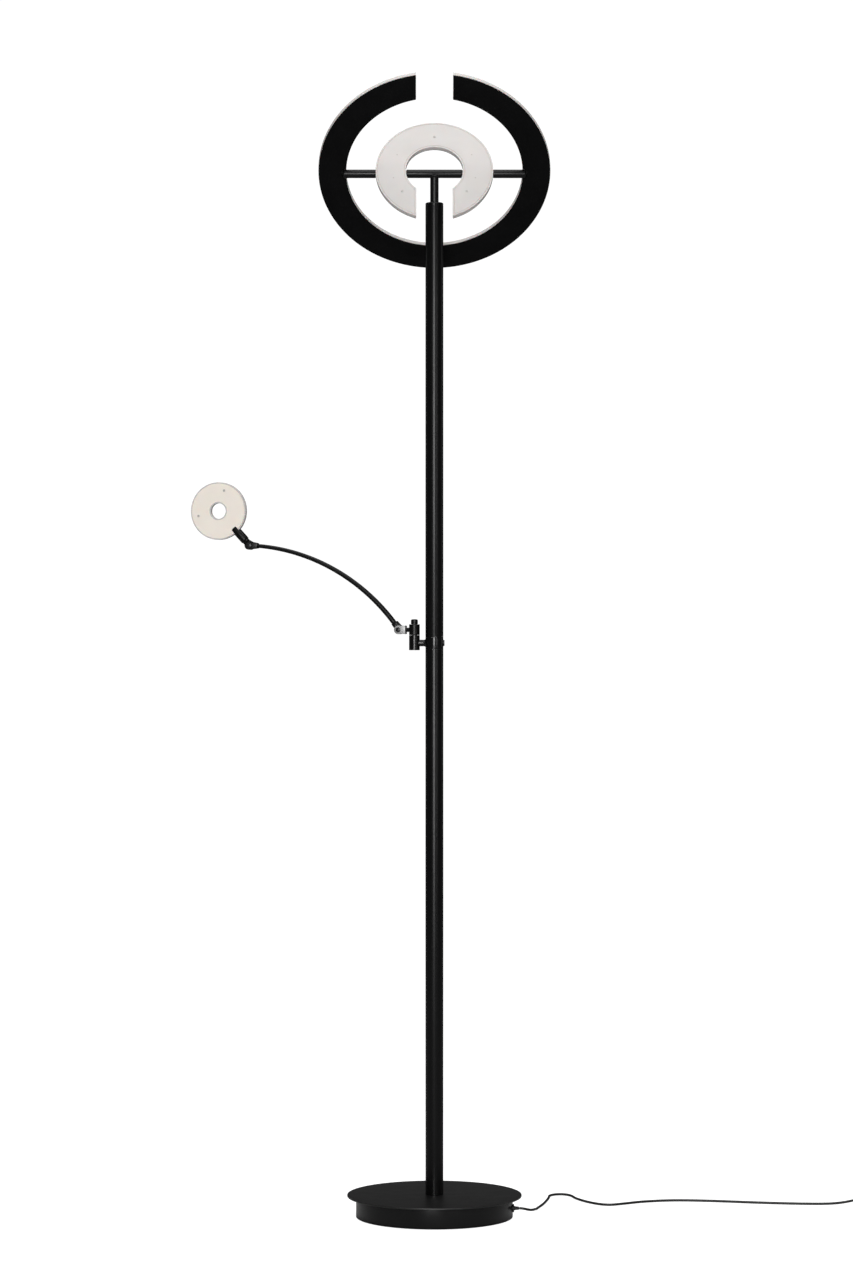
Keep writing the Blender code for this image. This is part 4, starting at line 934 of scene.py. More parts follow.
def evened(points, spacing):
    """Points at an even spacing along a run of points."""
    even = [points[0]]
    left = spacing
    for start, end in zip(points, points[1:]):
        length = (end - start).length
        done = 0.0
        while length - done >= left:
            done += left
            even.append(start.lerp(end, done / length))
            left = spacing
        left -= length - done
    return [*even, points[-1]] if left < spacing / 2 else [*even[:-1], points[-1]]


def relaxed(points, passes):
    """Ease sharp turns by drawing each point towards its neighbours. The ends stay."""
    for _ in range(passes):
        inner = [a * 0.25 + b * 0.5 + c * 0.25 for a, b, c in zip(points, points[1:], points[2:])]
        points = [points[0], *inner, points[-1]]
    return points


def swept(points, radius, facets):
    """A round tube along points, closed at both ends, with a frame that doesn't twist."""
    loops = []
    across = UP
    for k, point in enumerate(points):
        ahead = (points[min(k + 1, len(points) - 1)] - points[max(k - 1, 0)]).normalized()
        across = (across - ahead * across.dot(ahead)).normalized()
        side = ahead.cross(across)
        ring = [point + across * x + side * y for x, y in ring_of(radius, facets)]
        loops.append([tuple(p) for p in ring])
    return stacked(loops)


def gland_axis():
    """The gland's outer end and the direction that the cord leaves in."""
    points = node_points("cord_gland")
    far = points[np.argmax(np.hypot(points[:, 0], points[:, 1]))]
    spread = points[np.hypot(points[:, 0], points[:, 1]) > math.hypot(far[0], far[1]) - 0.0005]
    end = Vector(spread.mean(0))
    direction = Vector((end.x, end.y, 0.0)).normalized()
    return end, direction


class LAMP_OT_cord(bpy.types.Operator):
    """Lay the cord, wind its spare length and add the tie, the strain relief and the plug"""

    bl_idname = "lamp.cord"
    bl_label = "Cord"

    def execute(self, context):
        radius = sizes().cord_radius
        end, direction = gland_axis()
        low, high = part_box("cord_coil")
        plug_low, plug_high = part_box("plug")
        start = end + direction * 0.0003
        coil = coil_points(low, high)
        tail = Vector(((low.x + high.x) / 2 + (high.x - low.x) / 2 - radius, plug_high.y - 0.001,
                       (plug_low.z + plug_high.z) / 2))
        halfway = coil[-1].lerp(tail, 0.5)
        halfway.z = coil[-1].z + 0.25 * (tail.z - coil[-1].z) + 0.001
        approach = [coil[0] - RIGHT * step for step in COIL_APPROACH]
        laid = [start, start + direction * CORD_LEAD, *map(Vector, CORD_ROUTE), *approach]
        points = evened(smooth_route([*laid, *coil, halfway, tail], 5), CORD_SPACING)
        split = int(polyline_length([*laid, coil[0]]) / CORD_SPACING) + 3
        points = relaxed(points[:split], CORD_EASING) + points[split:]
        shape = swept(points, radius, 16)
        cord = piece("mains_cord", shape, Matrix(), ["rubber"], "stand", ["cord_tube", "cord_coil"])
        tie = self.tie(low, high)
        relief = self.relief(end, direction)
        plug = self.plug(plug_low, plug_high)
        round(polyline_length(points), 3)
        [tuple(p) for p in points]
        return {"FINISHED"}

    def tie(self, low, high):
        """A flat band round the coil's turns on the side away from the plug."""
        centre = (low + high) / 2
        outer = (high.x - low.x) / 2
        inner = outer - 6 * sizes().cord_radius
        thick = 0.0009
        corner = 0.0022
        outline = []
        half_x = (outer - inner) / 2 + thick
        half_z = (high.z - low.z) / 2
        for number, (sx, sz) in enumerate(((1, 1), (-1, 1), (-1, -1), (1, -1))):
            for x, y in arc(corner, math.radians(90 * number), math.radians(90 * number + 90), 6):
                outline.append((sx * (half_x - corner) + x, sz * (half_z - corner) + y))
        inside = [(x * (half_x - thick) / half_x, y * (half_z - thick) / half_z) for x, y in outline]
        width = TIE_HALF_WIDTH
        loops = [[(x, -width, y) for x, y in inside], [(x, -width, y) for x, y in outline],
                 [(x, width, y) for x, y in outline], [(x, width, y) for x, y in inside]]
        place = Matrix.Translation(centre) @ Matrix.Rotation(math.radians(TIE_BEARING), 4, "Z")
        place = place @ Matrix.Translation(((outer + inner) / 2, 0.0, 0.0))
        band = stacked(loops, closed_ends=False)
        return piece("cord_tie", band, place, ["black_plastic"], "stand")

    def relief(self, end, direction):
        """The ribbed strain relief that the gland's nose carries."""
        points = node_points("cord_gland")
        inside = float(np.hypot(points[:, 0], points[:, 1]).min())
        reach = math.hypot(end.x, end.y)
        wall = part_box("base_drum")[1].x
        profile = [(0.0, inside, False), (0.0065, inside, False), (0.0065, inside + 0.0015, False),
                   (0.0040, inside + 0.0015, False), (0.0040, wall + 0.0003, False),
                   (0.0065, wall + 0.0003, True), (0.0064, wall + 0.0022, True),
                   (0.0036, wall + 0.0024, True)]
        ribs = 4
        first = wall + 0.0028
        pitch = (reach - first) / ribs
        for k in range(ribs):
            size = 0.0034 - 0.0008 * k / ribs
            at = first + pitch * k
            profile += [(size, at, True), (size - 0.0001, at + pitch * 0.55, True),
                        (size - 0.0006, at + pitch * 0.6, False), (size - 0.0006, at + pitch * 0.95, False)]
        profile += [(0.0024, reach, False), (0.0, reach, False)]
        place = frame_at(Vector((0.0, 0.0, end.z)), direction, UP.cross(direction)) @ along_x()
        shape = turned(rounded(profile, 0.0004)[1:-1], 48)
        return piece("strain_relief", shape, place, ["black_plastic"], "stand",
                     ["cord_gland"])

    def plug(self, low, high):
        """The slim plug: a waisted grip with side ribs, a flat face and two round pins."""
        middle = (low + high) / 2
        tail = high.y
        pins = 0.019
        body_end = low.y + pins
        length = tail - body_end
        half_x = (high.x - low.x) / 2
        half_z = (high.z - low.z) / 2
        sections = ((0.0, 0.30, 0.42), (0.03, 0.33, 0.46), (0.20, 0.34, 0.47), (0.34, 0.42, 0.56),
                    (0.48, 0.66, 0.80), (0.60, 0.90, 0.95), (0.66, 0.97, 0.99), (0.70, 0.93, 0.96),
                    (0.74, 0.97, 0.99), (0.78, 0.93, 0.96), (0.82, 0.97, 0.99), (0.86, 0.93, 0.96),
                    (0.90, 0.98, 1.0), (0.975, 0.98, 1.0), (1.0, 0.93, 0.93))
        loops = []
        for share, wide, tall in sections:
            loop = []
            for k in range(48):
                t = math.tau * k / 48
                x = math.copysign(abs(math.cos(t)) ** 0.7, math.cos(t)) * half_x * wide
                z = math.copysign(abs(math.sin(t)) ** 0.7, math.sin(t)) * half_z * tall
                loop.append((x, -share * length, z))
            loops.append(loop)
        place = Matrix.Translation((middle.x, tail, middle.z))
        body = piece("plug_body", stacked(loops), place, ["rubber"], "stand", ["plug"])
        spread = 0.0055
        profile = rounded([(0.0, -0.002, False), (0.002, -0.002, False), (0.002, pins - 0.0002, True),
                           (0.0, pins - 0.0002, False)], 0.001)
        turn = Matrix.Rotation(math.radians(90), 4, "X")
        shapes = []
        for side in (-1, 1):
            pin = turned(profile[1:-1], 32)
            pin.transform(Matrix.Translation((side * spread, -length, 0.0)) @ turn)
            shapes.append(pin)
        metal = piece("plug_pins", joined(shapes), place, ["steel"], "stand")
        metal.parent = body
        return body


# Base and pole

class LAMP_OT_base(bpy.types.Operator):
    """Make the base's top plate, drum and foot"""

    bl_idname = "lamp.base"
    bl_label = "Base"

    def execute(self, context):
        edge = sizes().edge
        low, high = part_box("base_top_plate")
        radius = high.x
        bore = 0.0053
        profile = rounded([(bore, low.z, False), (radius, low.z, True), (radius, high.z, True),
                           (bore, high.z, False)], edge)
        piece("base_plate", turned_ring(profile, RING_FACETS), Matrix(), ["plate"], "stand",
              ["base_top_plate"], sharp=50)
        low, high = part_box("base_drum")
        low.z -= 0.0012
        radius = high.x
        wall = 0.0015
        flange = radius - wall - 0.012
        profile = rounded([(radius - wall, low.z, False), (radius, low.z, True), (radius, high.z, True),
                           (flange, high.z, False), (flange, high.z - wall, False),
                           (radius - wall, high.z - wall, False)], edge)
        drum = turned_ring(profile, RING_FACETS)
        end, direction = gland_axis()
        hole = prism(ring_of(GLAND_HOLE, SMALL_FACETS), radius - 0.006, radius + 0.004)
        hole.transform(frame_at(Vector((0.0, 0.0, end.z)), direction, UP.cross(direction)) @ along_x())
        piece("drum_wall", carved(drum, hole), Matrix(), ["gloss"], "stand", ["base_drum"])
        low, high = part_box("foot_pad")
        profile = rounded([(0.0, low.z, False), (high.x, low.z, True), (high.x, high.z, True),
                           (0.0, high.z, False)], 0.0004)
        piece("foot_ring", turned(profile[1:-1], RING_FACETS), Matrix(), ["felt"], "stand",
              ["foot_pad"])
        return {"FINISHED"}


class LAMP_OT_pole(bpy.types.Operator):
    """Make the two tubes, the rounded cap and the fixed tee"""

    bl_idname = "lamp.pole"
    bl_label = "Pole"

    def execute(self, context):
        for node in ("lower_pole", "upper_pole"):
            low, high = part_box(node)
            radius = high.x
            bore = radius - 0.0012
            bottom, top = low.z - SEAM, high.z + SEAM
            profile = rounded([(bore, bottom, False), (radius, bottom, True), (radius, top, True),
                               (bore, top, False)], 0.00015)
            piece(node + "_tube", turned_ring(profile), Matrix(), ["tube"], "stand", [node])
        self.cap()
        self.tee()
        return {"FINISHED"}

    def cap(self):
        """The cap's rounded shoulder and the small well round the stem."""
        low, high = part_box("pole_top_cap")
        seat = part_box("upper_pole")[1].z + 0.0003
        radius = high.x
        plug = radius - 0.0015
        bore = 0.0070
        profile = [(bore, low.z), (plug, low.z), (plug, seat)]
        profile += [(radius - 0.0002, seat), (radius, seat + 0.0002)]
        rounding = 0.0020
        for x, y in arc(rounding, 0.0, math.radians(90), 8):
            profile.append((radius - rounding + x, high.z - rounding + y))
        profile += [(bore + 0.0007, high.z), (bore, high.z - 0.0005)]
        piece("pole_cap", turned_ring(profile), Matrix(), ["tube"], "stand", ["pole_top_cap"])

    def tee(self):
        """The stem welded to the bar's fixed middle, with a small fillet where they meet."""
        low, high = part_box("tee_stem")
        bar = axis_point("outer_ring_tilt")
        radius = high.z - bar.z
        half = high.x
        chamfer = 0.0009
        profile = [(radius - chamfer, -half), (radius, chamfer - half), (radius, half - chamfer),
                   (radius - chamfer, half)]
        body = turned(profile)
        body.transform(Matrix.Translation(bar) @ along_x())
        fillet = 0.0022
        stem = [(radius, low.z)]
        top = bar.z - radius * 0.72
        for x, y in arc(fillet, math.radians(180), math.radians(90), 8):
            stem.append((radius + fillet + x, top - fillet + y))
        stem = [(min(r, radius + fillet * 0.9), z) for r, z in stem]
        stem.append((radius, bar.z))
        shape = carved(body, turned(stem), "UNION")
        bore = prism(ring_of(AXLE_BORE, SMALL_FACETS), -2 * half, 2 * half)
        bore.transform(Matrix.Translation(bar) @ along_x())
        shape = carved(shape, bore)
        well = prism(ring_of(0.0035, SMALL_FACETS), low.z - 0.01, bar.z - 0.002)
        piece("tee", carved(shape, well), Matrix(), ["satin"], "stand", ["tee_stem"])


# Ring heads

def split_outline(radius, hole, half_gap, inset):
    """A split ring's outline, moved inwards from its edge, with the gap towards -Y."""
    quarter = math.radians(90)
    far, near, gap = radius - inset, hole + inset, half_gap + inset
    outer = math.asin(gap / far)
    inner = math.asin(gap / near)
    steps = RING_FACETS
    return (arc(far, outer - quarter, 3 * quarter - outer, steps)
            + arc(near, 3 * quarter - inner, inner - quarter, steps))


def split_loops(size, levels):
    """Outlines at (inset, height) levels."""
    return [[(x, y, height) for x, y in split_outline(size["radius"], size["hole"], size["half_gap"], inset)]
            for inset, height in levels]


def circle_loops(radius, hole, levels):
    """A full ring's section of (inset, height) levels, as radii for turning."""
    outer = [(radius - inset, height) for inset, height in levels]
    inner = [(hole + inset, height) for inset, height in reversed(levels)]
    return outer + inner


# The tray's wall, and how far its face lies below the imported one
TRAY_WALL = 0.0015
TRAY_DROP = 0.0011


def tray_levels(low, high):
    """The tray from its hollow's floor, over the rim and side wall, to the bordered face."""
    edge, border, groove = sizes().edge, sizes().border, sizes().groove
    wall = TRAY_WALL
    levels = [(wall, high - wall), (wall, low + 0.0002), (wall - 0.0002, low)]
    levels += [(0.0002, low), (0.0, low + 0.0002)]
    for x, y in arc(edge, 0.0, math.radians(90), 5):
        levels.append((edge - x, high - edge + y))
    levels += [(border, high), (border + groove * 0.3, high - groove), (border + groove * 0.8, high - groove),
               (border + groove * 1.1, high - 0.00012), (border + groove * 2.2, high - 0.00005)]
    return levels


def paint_edge_shading(obj, place, size, levels_high):
    """Give the face inside the groove the diffuser's finish, and the border and walls the other, which is
    painted edge shading.
    """
    inverse = place.inverted()
    limit = sizes().border + sizes().groove * 0.9
    for face in obj.data.polygons:
        spot = inverse @ face.center
        radial = math.hypot(spot.x, spot.y)
        side = abs(spot.x) - size["half_gap"] if spot.y < 0 else radial
        inset = min(size["radius"] - radial, radial - size["hole"], side)
        face.material_index = 0 if inset > limit and spot.z > levels_high - 0.001 else 1


def screw_places(place, circle, height):
    """Where a ring's three screws stand: opposite the gap and 51 degrees either side of it."""
    angles = [math.radians(a) for a in (51, 180, -51)]
    return [place @ Vector((circle * math.sin(t), -circle * math.cos(t), height)) for t in angles]


def direction_of(place):
    """The world direction of a frame's Z."""
    return (place.to_3x3() @ UP).normalized()


def notch_box(low_x, high_x, half, top):
    """A box that lets a sleeve through a tray's wall."""
    return box_shape((low_x, -half, -0.001), (high_x, half, top))


def diffuser_piece(name, node, place, body, notches):
    """A ring's tray with its border, groove, side walls and notches."""
    size = ring_sizes(node, place)
    size["high"] -= TRAY_DROP
    shape = stacked(split_loops(size, tray_levels(size["low"], size["high"])))
    half = 0.0071
    for start, end in notches:
        shape = carved(shape, notch_box(start, end, half, half))
        shape = carved(shape, notch_box(-end, -start, half, half))
    # The face gets the diffuser finish, and the border and walls get the painted edge shading.
    obj = piece(name, shape, place, ["diffuser", "border"], body, [node])
    paint_edge_shading(obj, place, size, size["high"])
    return size


def plate_levels(low, high):
    """The thin plate's softened section."""
    edge = 0.0003
    return [(edge, low), (edge * 0.3, low + edge * 0.3), (0.0, low + edge), (0.0, high - edge),
            (edge * 0.3, high - edge * 0.3), (edge, high)]


def painted_shade_piece(name, places, direction, body):
    """Very thin round discs of painted shade that show where fixings sit behind a diffuser."""
    shapes = []
    for spot, radius in places:
        painted_shade_mark = stacked([[(x, y, 0.00001) for x, y in ring_of(radius, 24)],
                        [(x, y, 0.00005) for x, y in ring_of(radius * 0.9, 24)]])
        painted_shade_mark.transform(Matrix.Translation(spot) @ direction.to_track_quat("Z", "X").to_matrix().to_4x4())
        shapes.append(painted_shade_mark)
    piece(name, joined(shapes), Matrix(), ["painted_shade_mark"], body)


class LAMP_OT_outer_ring(bpy.types.Operator):
    """Make the large split ring: slotted plate, deep tray, sleeves and screws"""

    bl_idname = "lamp.outer_ring"
    bl_label = "Outer ring"

    def execute(self, context):
        place = OUTER_PLACE
        hole = ring_sizes("outer_ring_diffuser", place)["hole"]
        size = diffuser_piece("outer_tray", "outer_ring_diffuser", place, "outer_ring",
                              [(hole - 0.002, hole + 0.004)])
        plate = ring_sizes("outer_ring_plate", place)
        shape = stacked(split_loops(plate, plate_levels(plate["low"], plate["high"])))
        sleeve_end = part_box("outer_pivot_right")[1].x
        slot_end = self.sleeve_reach() + SLOT_END_PLAY
        for side in (-1, 1):
            outline = [(plate["hole"] - 0.002, -SLOT_HALF_WIDTH)]
            outline += [(slot_end - SLOT_HALF_WIDTH + x, y)
                        for x, y in arc(SLOT_HALF_WIDTH, math.radians(-90), math.radians(90), 32)]
            outline.append((plate["hole"] - 0.002, SLOT_HALF_WIDTH))
            outline = [(side * x, side * y) for x, y in outline]
            tool = prism(outline, plate["low"] - 0.001, plate["high"] + 0.001)
            shape = carved(shape, tool)
        piece("outer_plate", shape, place, ["matt"], "outer_ring", ["outer_ring_plate"])
        places = screw_places(place, OUTER_SCREW_CIRCLE, size["high"] + 0.0002)
        fasteners("outer_screws", "cross", places, direction_of(place), FACE_SCREW_RADIUS, FACE_SCREW_HEIGHT,
                  "pale", "outer_ring", ["outer_screw_1", "outer_screw_2", "outer_screw_3"])
        for name, turn in (("right", 0.0), ("left", math.pi)):
            self.sleeve(name, place @ Matrix.Rotation(turn, 4, "Z"), sleeve_end)
        return {"FINISHED"}

    def sleeve_reach(self):
        """How far the sleeve itself reaches from the middle."""
        points = node_points("outer_pivot_right")
        bar = axis_point("outer_ring_tilt")
        off = np.hypot(points[:, 1] - bar.y, points[:, 2] - bar.z)
        return float(points[off < 0.0045, 0].max())

    def sleeve(self, name, place, saddle_end):
        """A round-ended sleeve on its glued saddle."""
        node = "outer_pivot_" + name
        start = min(abs(c[0]) for c in node_points(node))
        end = self.sleeve_reach()
        radius = BAR_RADIUS
        bore = AXLE_BORE
        rounding = 0.0026
        profile = [(bore, end - 0.0047), (bore, start + 0.0002)]
        profile += [(radius - 0.0005, start), (radius, start + 0.0005)]
        for x, y in arc(rounding, 0.0, math.radians(90), 8):
            profile.append((radius - rounding + x, end - rounding + y))
        loops = [[(x, y, height) for x, y in ring_of(r, ROUND_FACETS)] for r, height in profile]
        sleeve = stacked(loops)
        sleeve.transform(along_x())
        low = ring_sizes("outer_ring_plate", OUTER_PLACE)["high"] + 0.0003
        hole = ring_sizes("outer_ring_diffuser", OUTER_PLACE)["hole"]
        side = SADDLE_HALF_WIDTH
        saddle = box_shape((hole + 0.0026, -side, low), (saddle_end, side, low + 0.001))
        shape = carved(sleeve, softened(saddle, 0.0003, 2), "UNION")
        core = prism(ring_of(bore, SMALL_FACETS), start - 0.003, end - 0.0047)
        core.transform(along_x())
        shape = carved(shape, core)
        piece(f"outer_sleeve_{name}", shape, place, ["satin"], "outer_ring", [node])


class LAMP_OT_inner_ring(bpy.types.Operator):
    """Make the small split ring: plate with welded sleeves, tray, screws and painted shade marks of the
    fixings
    """

    bl_idname = "lamp.inner_ring"
    bl_label = "Inner ring"

    def execute(self, context):
        place = INNER_PLACE
        tray = ring_sizes("inner_ring_diffuser", place)
        notches = [(tray["hole"] - 0.002, tray["hole"] + 0.004)]
        notches.append((tray["radius"] - 0.004, tray["radius"] + 0.002))
        diffuser_piece("inner_tray", "inner_ring_diffuser", place, "inner_ring", notches)
        thickness = 0.0015
        inset = 0.0006
        low = ring_sizes("inner_led_board", place)["low"] - 0.0075 + 0.00125
        plate = dict(tray, radius=tray["radius"] - inset, hole=tray["hole"] + inset,
                     half_gap=tray["half_gap"] + inset)
        shape = stacked(split_loops(plate, plate_levels(low, low + thickness)))
        start = min(abs(c[0]) for c in node_points("inner_bush_right"))
        end = max(abs(c[0]) for c in node_points("inner_bush_right"))
        radius = BAR_RADIUS
        bore = BUSH_BORE
        for turn in (0.0, math.pi):
            profile = [(radius - 0.0004, start), (radius, start + 0.0004), (radius, end - 0.0004),
                       (radius - 0.0004, end)]
            sleeve = turned(profile)
            sleeve.transform(Matrix.Rotation(turn, 4, "Z") @ along_x())
            shape = carved(shape, sleeve, "UNION")
        for turn in (0.0, math.pi):
            core = prism(ring_of(bore, SMALL_FACETS), start - 0.002, end + 0.002)
            core.transform(Matrix.Rotation(turn, 4, "Z") @ along_x())
            shape = carved(shape, core)
        piece("inner_plate", shape, place, ["matt"], "inner_ring", ["inner_ring_plate"])
        face = tray["high"] - TRAY_DROP
        places = screw_places(place, INNER_SCREW_CIRCLE, face + 0.0002)
        fasteners("inner_screws", "cross", places, direction_of(place), FACE_SCREW_RADIUS, FACE_SCREW_HEIGHT,
                  "pale", "inner_ring", ["inner_screw_1", "inner_screw_2", "inner_screw_3"])
        # Painted shade of the fixings that sit behind the diffuser
        marks = []
        for angle in (-117, -77, 77, 117):
            t = math.radians(angle)
            spot = place @ Vector((0.066 * math.sin(t), -0.066 * math.cos(t), face - 0.00005))
            marks.append((spot, 0.0011))
        painted_shade_piece("inner_painted_shade_discs", marks, direction_of(place), "inner_ring")
        return {"FINISHED"}


# Swivel, arm and knuckles

def teardrop(radius, reach, half_width, angle):
    """A knuckle's outline: a disc with a lug at an angle."""
    edge = math.radians(62)
    points = arc(radius, edge, math.tau - edge, 56)
    points += [(reach, -half_width), (reach, half_width)]
    turn = Matrix.Rotation(angle, 2)
    return [tuple(turn @ Vector(p)) for p in points]


def knuckle_shape(front, reach, half_width, angle, extra=None):
    """Half a knuckle with its full-width block, its edges softened."""
    middle = KNUCKLE_HALF_DEPTH
    split = 0.00015
    radius = KNUCKLE_RADIUS
    depth = (-middle, -split) if front else (split, middle)
    half = prism(teardrop(radius, reach, half_width, angle), *depth)
    half.transform(upright())
    side = half_width - 0.0003
    low, high = (-middle + 0.0003, middle - 0.001) if front else (-middle + 0.001, middle - 0.0003)
    block = box_shape((radius + 0.0005, -side, low), (reach - 0.0003, side, high))
    block.transform(upright() @ Matrix.Rotation(angle, 4, "Z"))
    shape = carved(half, block, "UNION")
    if extra is not None:
        shape = carved(shape, extra, "UNION")
    core = prism(ring_of(KNUCKLE_BORE, SMALL_FACETS), -0.01, 0.01)
    core.transform(along_y())
    return softened(carved(shape, core), 0.0004, 2)


class LAMP_OT_swivel(bpy.types.Operator):
    """Make the collar, its clamp screw, the post, the turning sleeve and the domed pin"""

    bl_idname = "lamp.swivel"
    bl_label = "Swivel"

    def execute(self, context):
        low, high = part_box("arm_collar")
        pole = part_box("lower_pole")[1]
        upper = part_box("upper_pole")[0]
        radius = pole.x
        bottom, top = pole.z + 0.0003 - SEAM, upper.z - 0.0003 + SEAM
        middle = (bottom + top) / 2
        post_x = axis_point("arm_swing").x
        post_radius = post_x - low.x
        bore = radius - 0.0012
        collar = turned_ring(rounded([(bore, bottom, False), (radius, bottom, True), (radius, top, True),
                                 (bore, top, False)], 0.00015))
        wall = -post_x - radius
        stub_profile = [(0.0052, 0.0), (0.0052, wall - 0.0022), (0.0055, wall - 0.0010),
                        (0.0064, wall + 0.0004), (0.0068, wall + 0.0012)]
        stub = turned(stub_profile)
        stub.transform(Matrix.Translation((post_x, 0.0, middle)) @ along_x())
        inside = prism(ring_of(bore + 0.0006, ROUND_FACETS), bottom - 0.01, top + 0.01)
        stub = carved(stub, inside)
        post = turned([(post_radius - 0.0005, low.z), (post_radius, low.z + 0.0005),
                       (post_radius, high.z - 0.0004), (post_radius - 0.0004, high.z)])
        post.transform(Matrix.Translation((post_x, 0.0, 0.0)))
        shape = carved(carved(stub, post, "UNION"), collar, "UNION")
        core = prism(ring_of(PIN_BORE, SMALL_FACETS), low.z - 0.001, high.z + 0.001)
        core.transform(Matrix.Translation((post_x, 0.0, 0.0)))
        shape = carved(shape, core)
        piece("collar", shape, Matrix(), ["gloss"], "stand", ["arm_collar"])
        self.clamp_screw(middle, radius)
        self.sleeve(post_x, post_radius)
        self.pin(post_x)
        return {"FINISHED"}

    def clamp_screw(self, middle, radius):
        """The low round head that follows the tube's side."""
        low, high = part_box("collar_screw")
        head = (high.y - low.y) / 2
        profile = [(head, 0.0), (head, high.x - 0.0006), (head - 0.0006, high.x)]
        profile.append((head * 0.55, high.x + 0.0001))
        shape = turned(profile, 48)
        shape.transform(Matrix.Translation((0.0, 0.0, middle)) @ along_x())
        tube = prism(ring_of(radius + 0.0003, ROUND_FACETS), middle - 0.02, middle + 0.02)
        shape = carved(shape, tube)
        piece("clamp_screw", shape, Matrix(), ["dark_steel"], "stand", ["collar_screw"])

    def sleeve(self, post_x, radius):
        """The turning sleeve with its short rod."""
        low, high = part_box("swivel_sleeve")
        body = turned([(radius - 0.0004, low.z), (radius, low.z + 0.0004), (radius, high.z - 0.0005),
                       (radius - 0.0005, high.z)])
        knuckle = axis_point("arm_lift")
        offset = Vector((knuckle.x - post_x, knuckle.y, 0.0))
        length = offset.length - 0.0116
        rod = turned([(0.0034, 0.004), (0.0034, length)], 48)
        aim = frame_at(Vector((0.0, 0.0, knuckle.z)), offset, UP.cross(offset))
        rod.transform(aim @ along_x())
        core = prism(ring_of(PIN_BORE, SMALL_FACETS), low.z - 0.001, high.z + 0.001)
        shape = carved(carved(body, rod, "UNION"), core)
        place = Matrix.Translation((post_x, 0.0, 0.0))
        piece("turning_sleeve", shape, place, ["satin"], "swivel", ["swivel_sleeve"])

    def pin(self, post_x):
        """The pin with its domed head."""
        low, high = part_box("swivel_pin")
        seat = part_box("swivel_sleeve")[1].z + 0.0003
        head = (high.x - low.x) / 2
        dome = 0.0014
        profile = [(0.004, low.z), (0.004, seat), (head - 0.0003, seat), (head, seat + 0.0003),
                   (head, high.z - dome - 0.0004)]
        for k in range(1, 8):
            t = k / 8
            profile.append((head * math.cos(t * math.pi / 2) ** 0.6, high.z - dome - 0.0004
                            + (dome + 0.0004) * math.sin(t * math.pi / 2)))
        place = Matrix.Translation((post_x, 0.0, 0.0))
        piece("domed_pin", turned(profile, 64), place, ["satin"], "stand", ["swivel_pin"])


class LAMP_OT_arm(bpy.types.Operator):
    """Make the arm's knuckles, its bent tapering rod and the knuckle screws"""

    bl_idname = "lamp.arm"
    bl_label = "Arm"

    def execute(self, context):
        lower, upper = self.bearings()
        hub = knuckle_shape(True, HUB_REACH, KNUCKLE_RADIUS, math.pi)
        foot = knuckle_shape(False, KNUCKLE_REACH, BLOCK_HALF_WIDTH, lower)
        head = knuckle_shape(True, KNUCKLE_REACH, BLOCK_HALF_WIDTH, math.pi + upper)
        # The hub's grey finish is a painted reflection, and the other halves are satin black.
        piece("knuckle_hub_painted_reflection", hub, ARM_PLACE, ["grey"], "swivel", ["lower_knuckle_hub"])
        piece("arm_foot_knuckle", foot, ARM_PLACE, ["satin"], "arm", ["arm_lower_knuckle"])
        piece("arm_head_knuckle", head, ARM_END_PLACE, ["satin"], "arm", ["arm_upper_knuckle"])
        self.rod(lower, upper)
        face = 0.0072
        for name, place, radius, body in (("lower", ARM_PLACE, 0.0039, "swivel"),
                                          ("upper", ARM_END_PLACE, 0.0046, "arm")):
            spot = place @ Vector((0.0, face, 0.0))
            fasteners(f"{name}_slotted_screw", "slot", [spot], KNUCKLE_AXIS, radius, 0.0011, "dark_steel",
                      body, [f"{name}_knuckle_screw"])
        return {"FINISHED"}

    def bend(self):
        """The arm's chord and bend, measured between its knuckles and at the rod's middle."""
        end = ARM_PLACE.inverted() @ axis_point("head_tilt")
        chord = Vector((end.x, end.z))
        points = np.array([ARM_PLACE.inverted() @ Vector(p) for p in node_points("arm_rod")])
        across = Vector((-chord.y, chord.x)).normalized()
        along = chord.normalized()
        share = points[:, 0] * along.x + points[:, 2] * along.y
        near = points[np.abs(share - chord.length / 2) < 0.008]
        sag = float((near[:, 0] * across.x + near[:, 2] * across.y).mean())
        half = chord.length / 2
        radius = (half ** 2 + sag ** 2) / (2 * sag)
        centre = along * half - across * (radius - sag)
        return chord, radius, centre

    def bearings(self):
        """The arm's direction at its two knuckles."""
        chord, radius, _ = self.bend()
        angle = math.atan2(chord.y, chord.x)
        turn = math.asin(chord.length / 2 / radius)
        return angle + turn, angle - turn

    def rod(self, lower, upper):
        """The bent rod with softened ends."""
        _, radius, centre = self.bend()
        trim = 0.0143 / radius
        start = lower + math.radians(90) - trim
        end = upper + math.radians(90) + trim
        steps = 96
        loops = []
        for k in range(steps + 1):
            share = k / steps
            bearing = start + (end - start) * share
            thick = 0.00415 + (0.0032 - 0.00415) * share
            if k in (0, steps):
                thick *= 0.94
            out = Vector((math.cos(bearing), 0.0, math.sin(bearing)))
            spot = Vector((centre.x, 0.0, centre.y)) + out * radius
            loops.append([tuple(spot + out * x + Vector((0.0, y, 0.0))) for x, y in ring_of(thick, 48)])
        piece("bent_rod", stacked(loops), ARM_PLACE, ["satin"], "arm", ["arm_rod"])


# Reading head

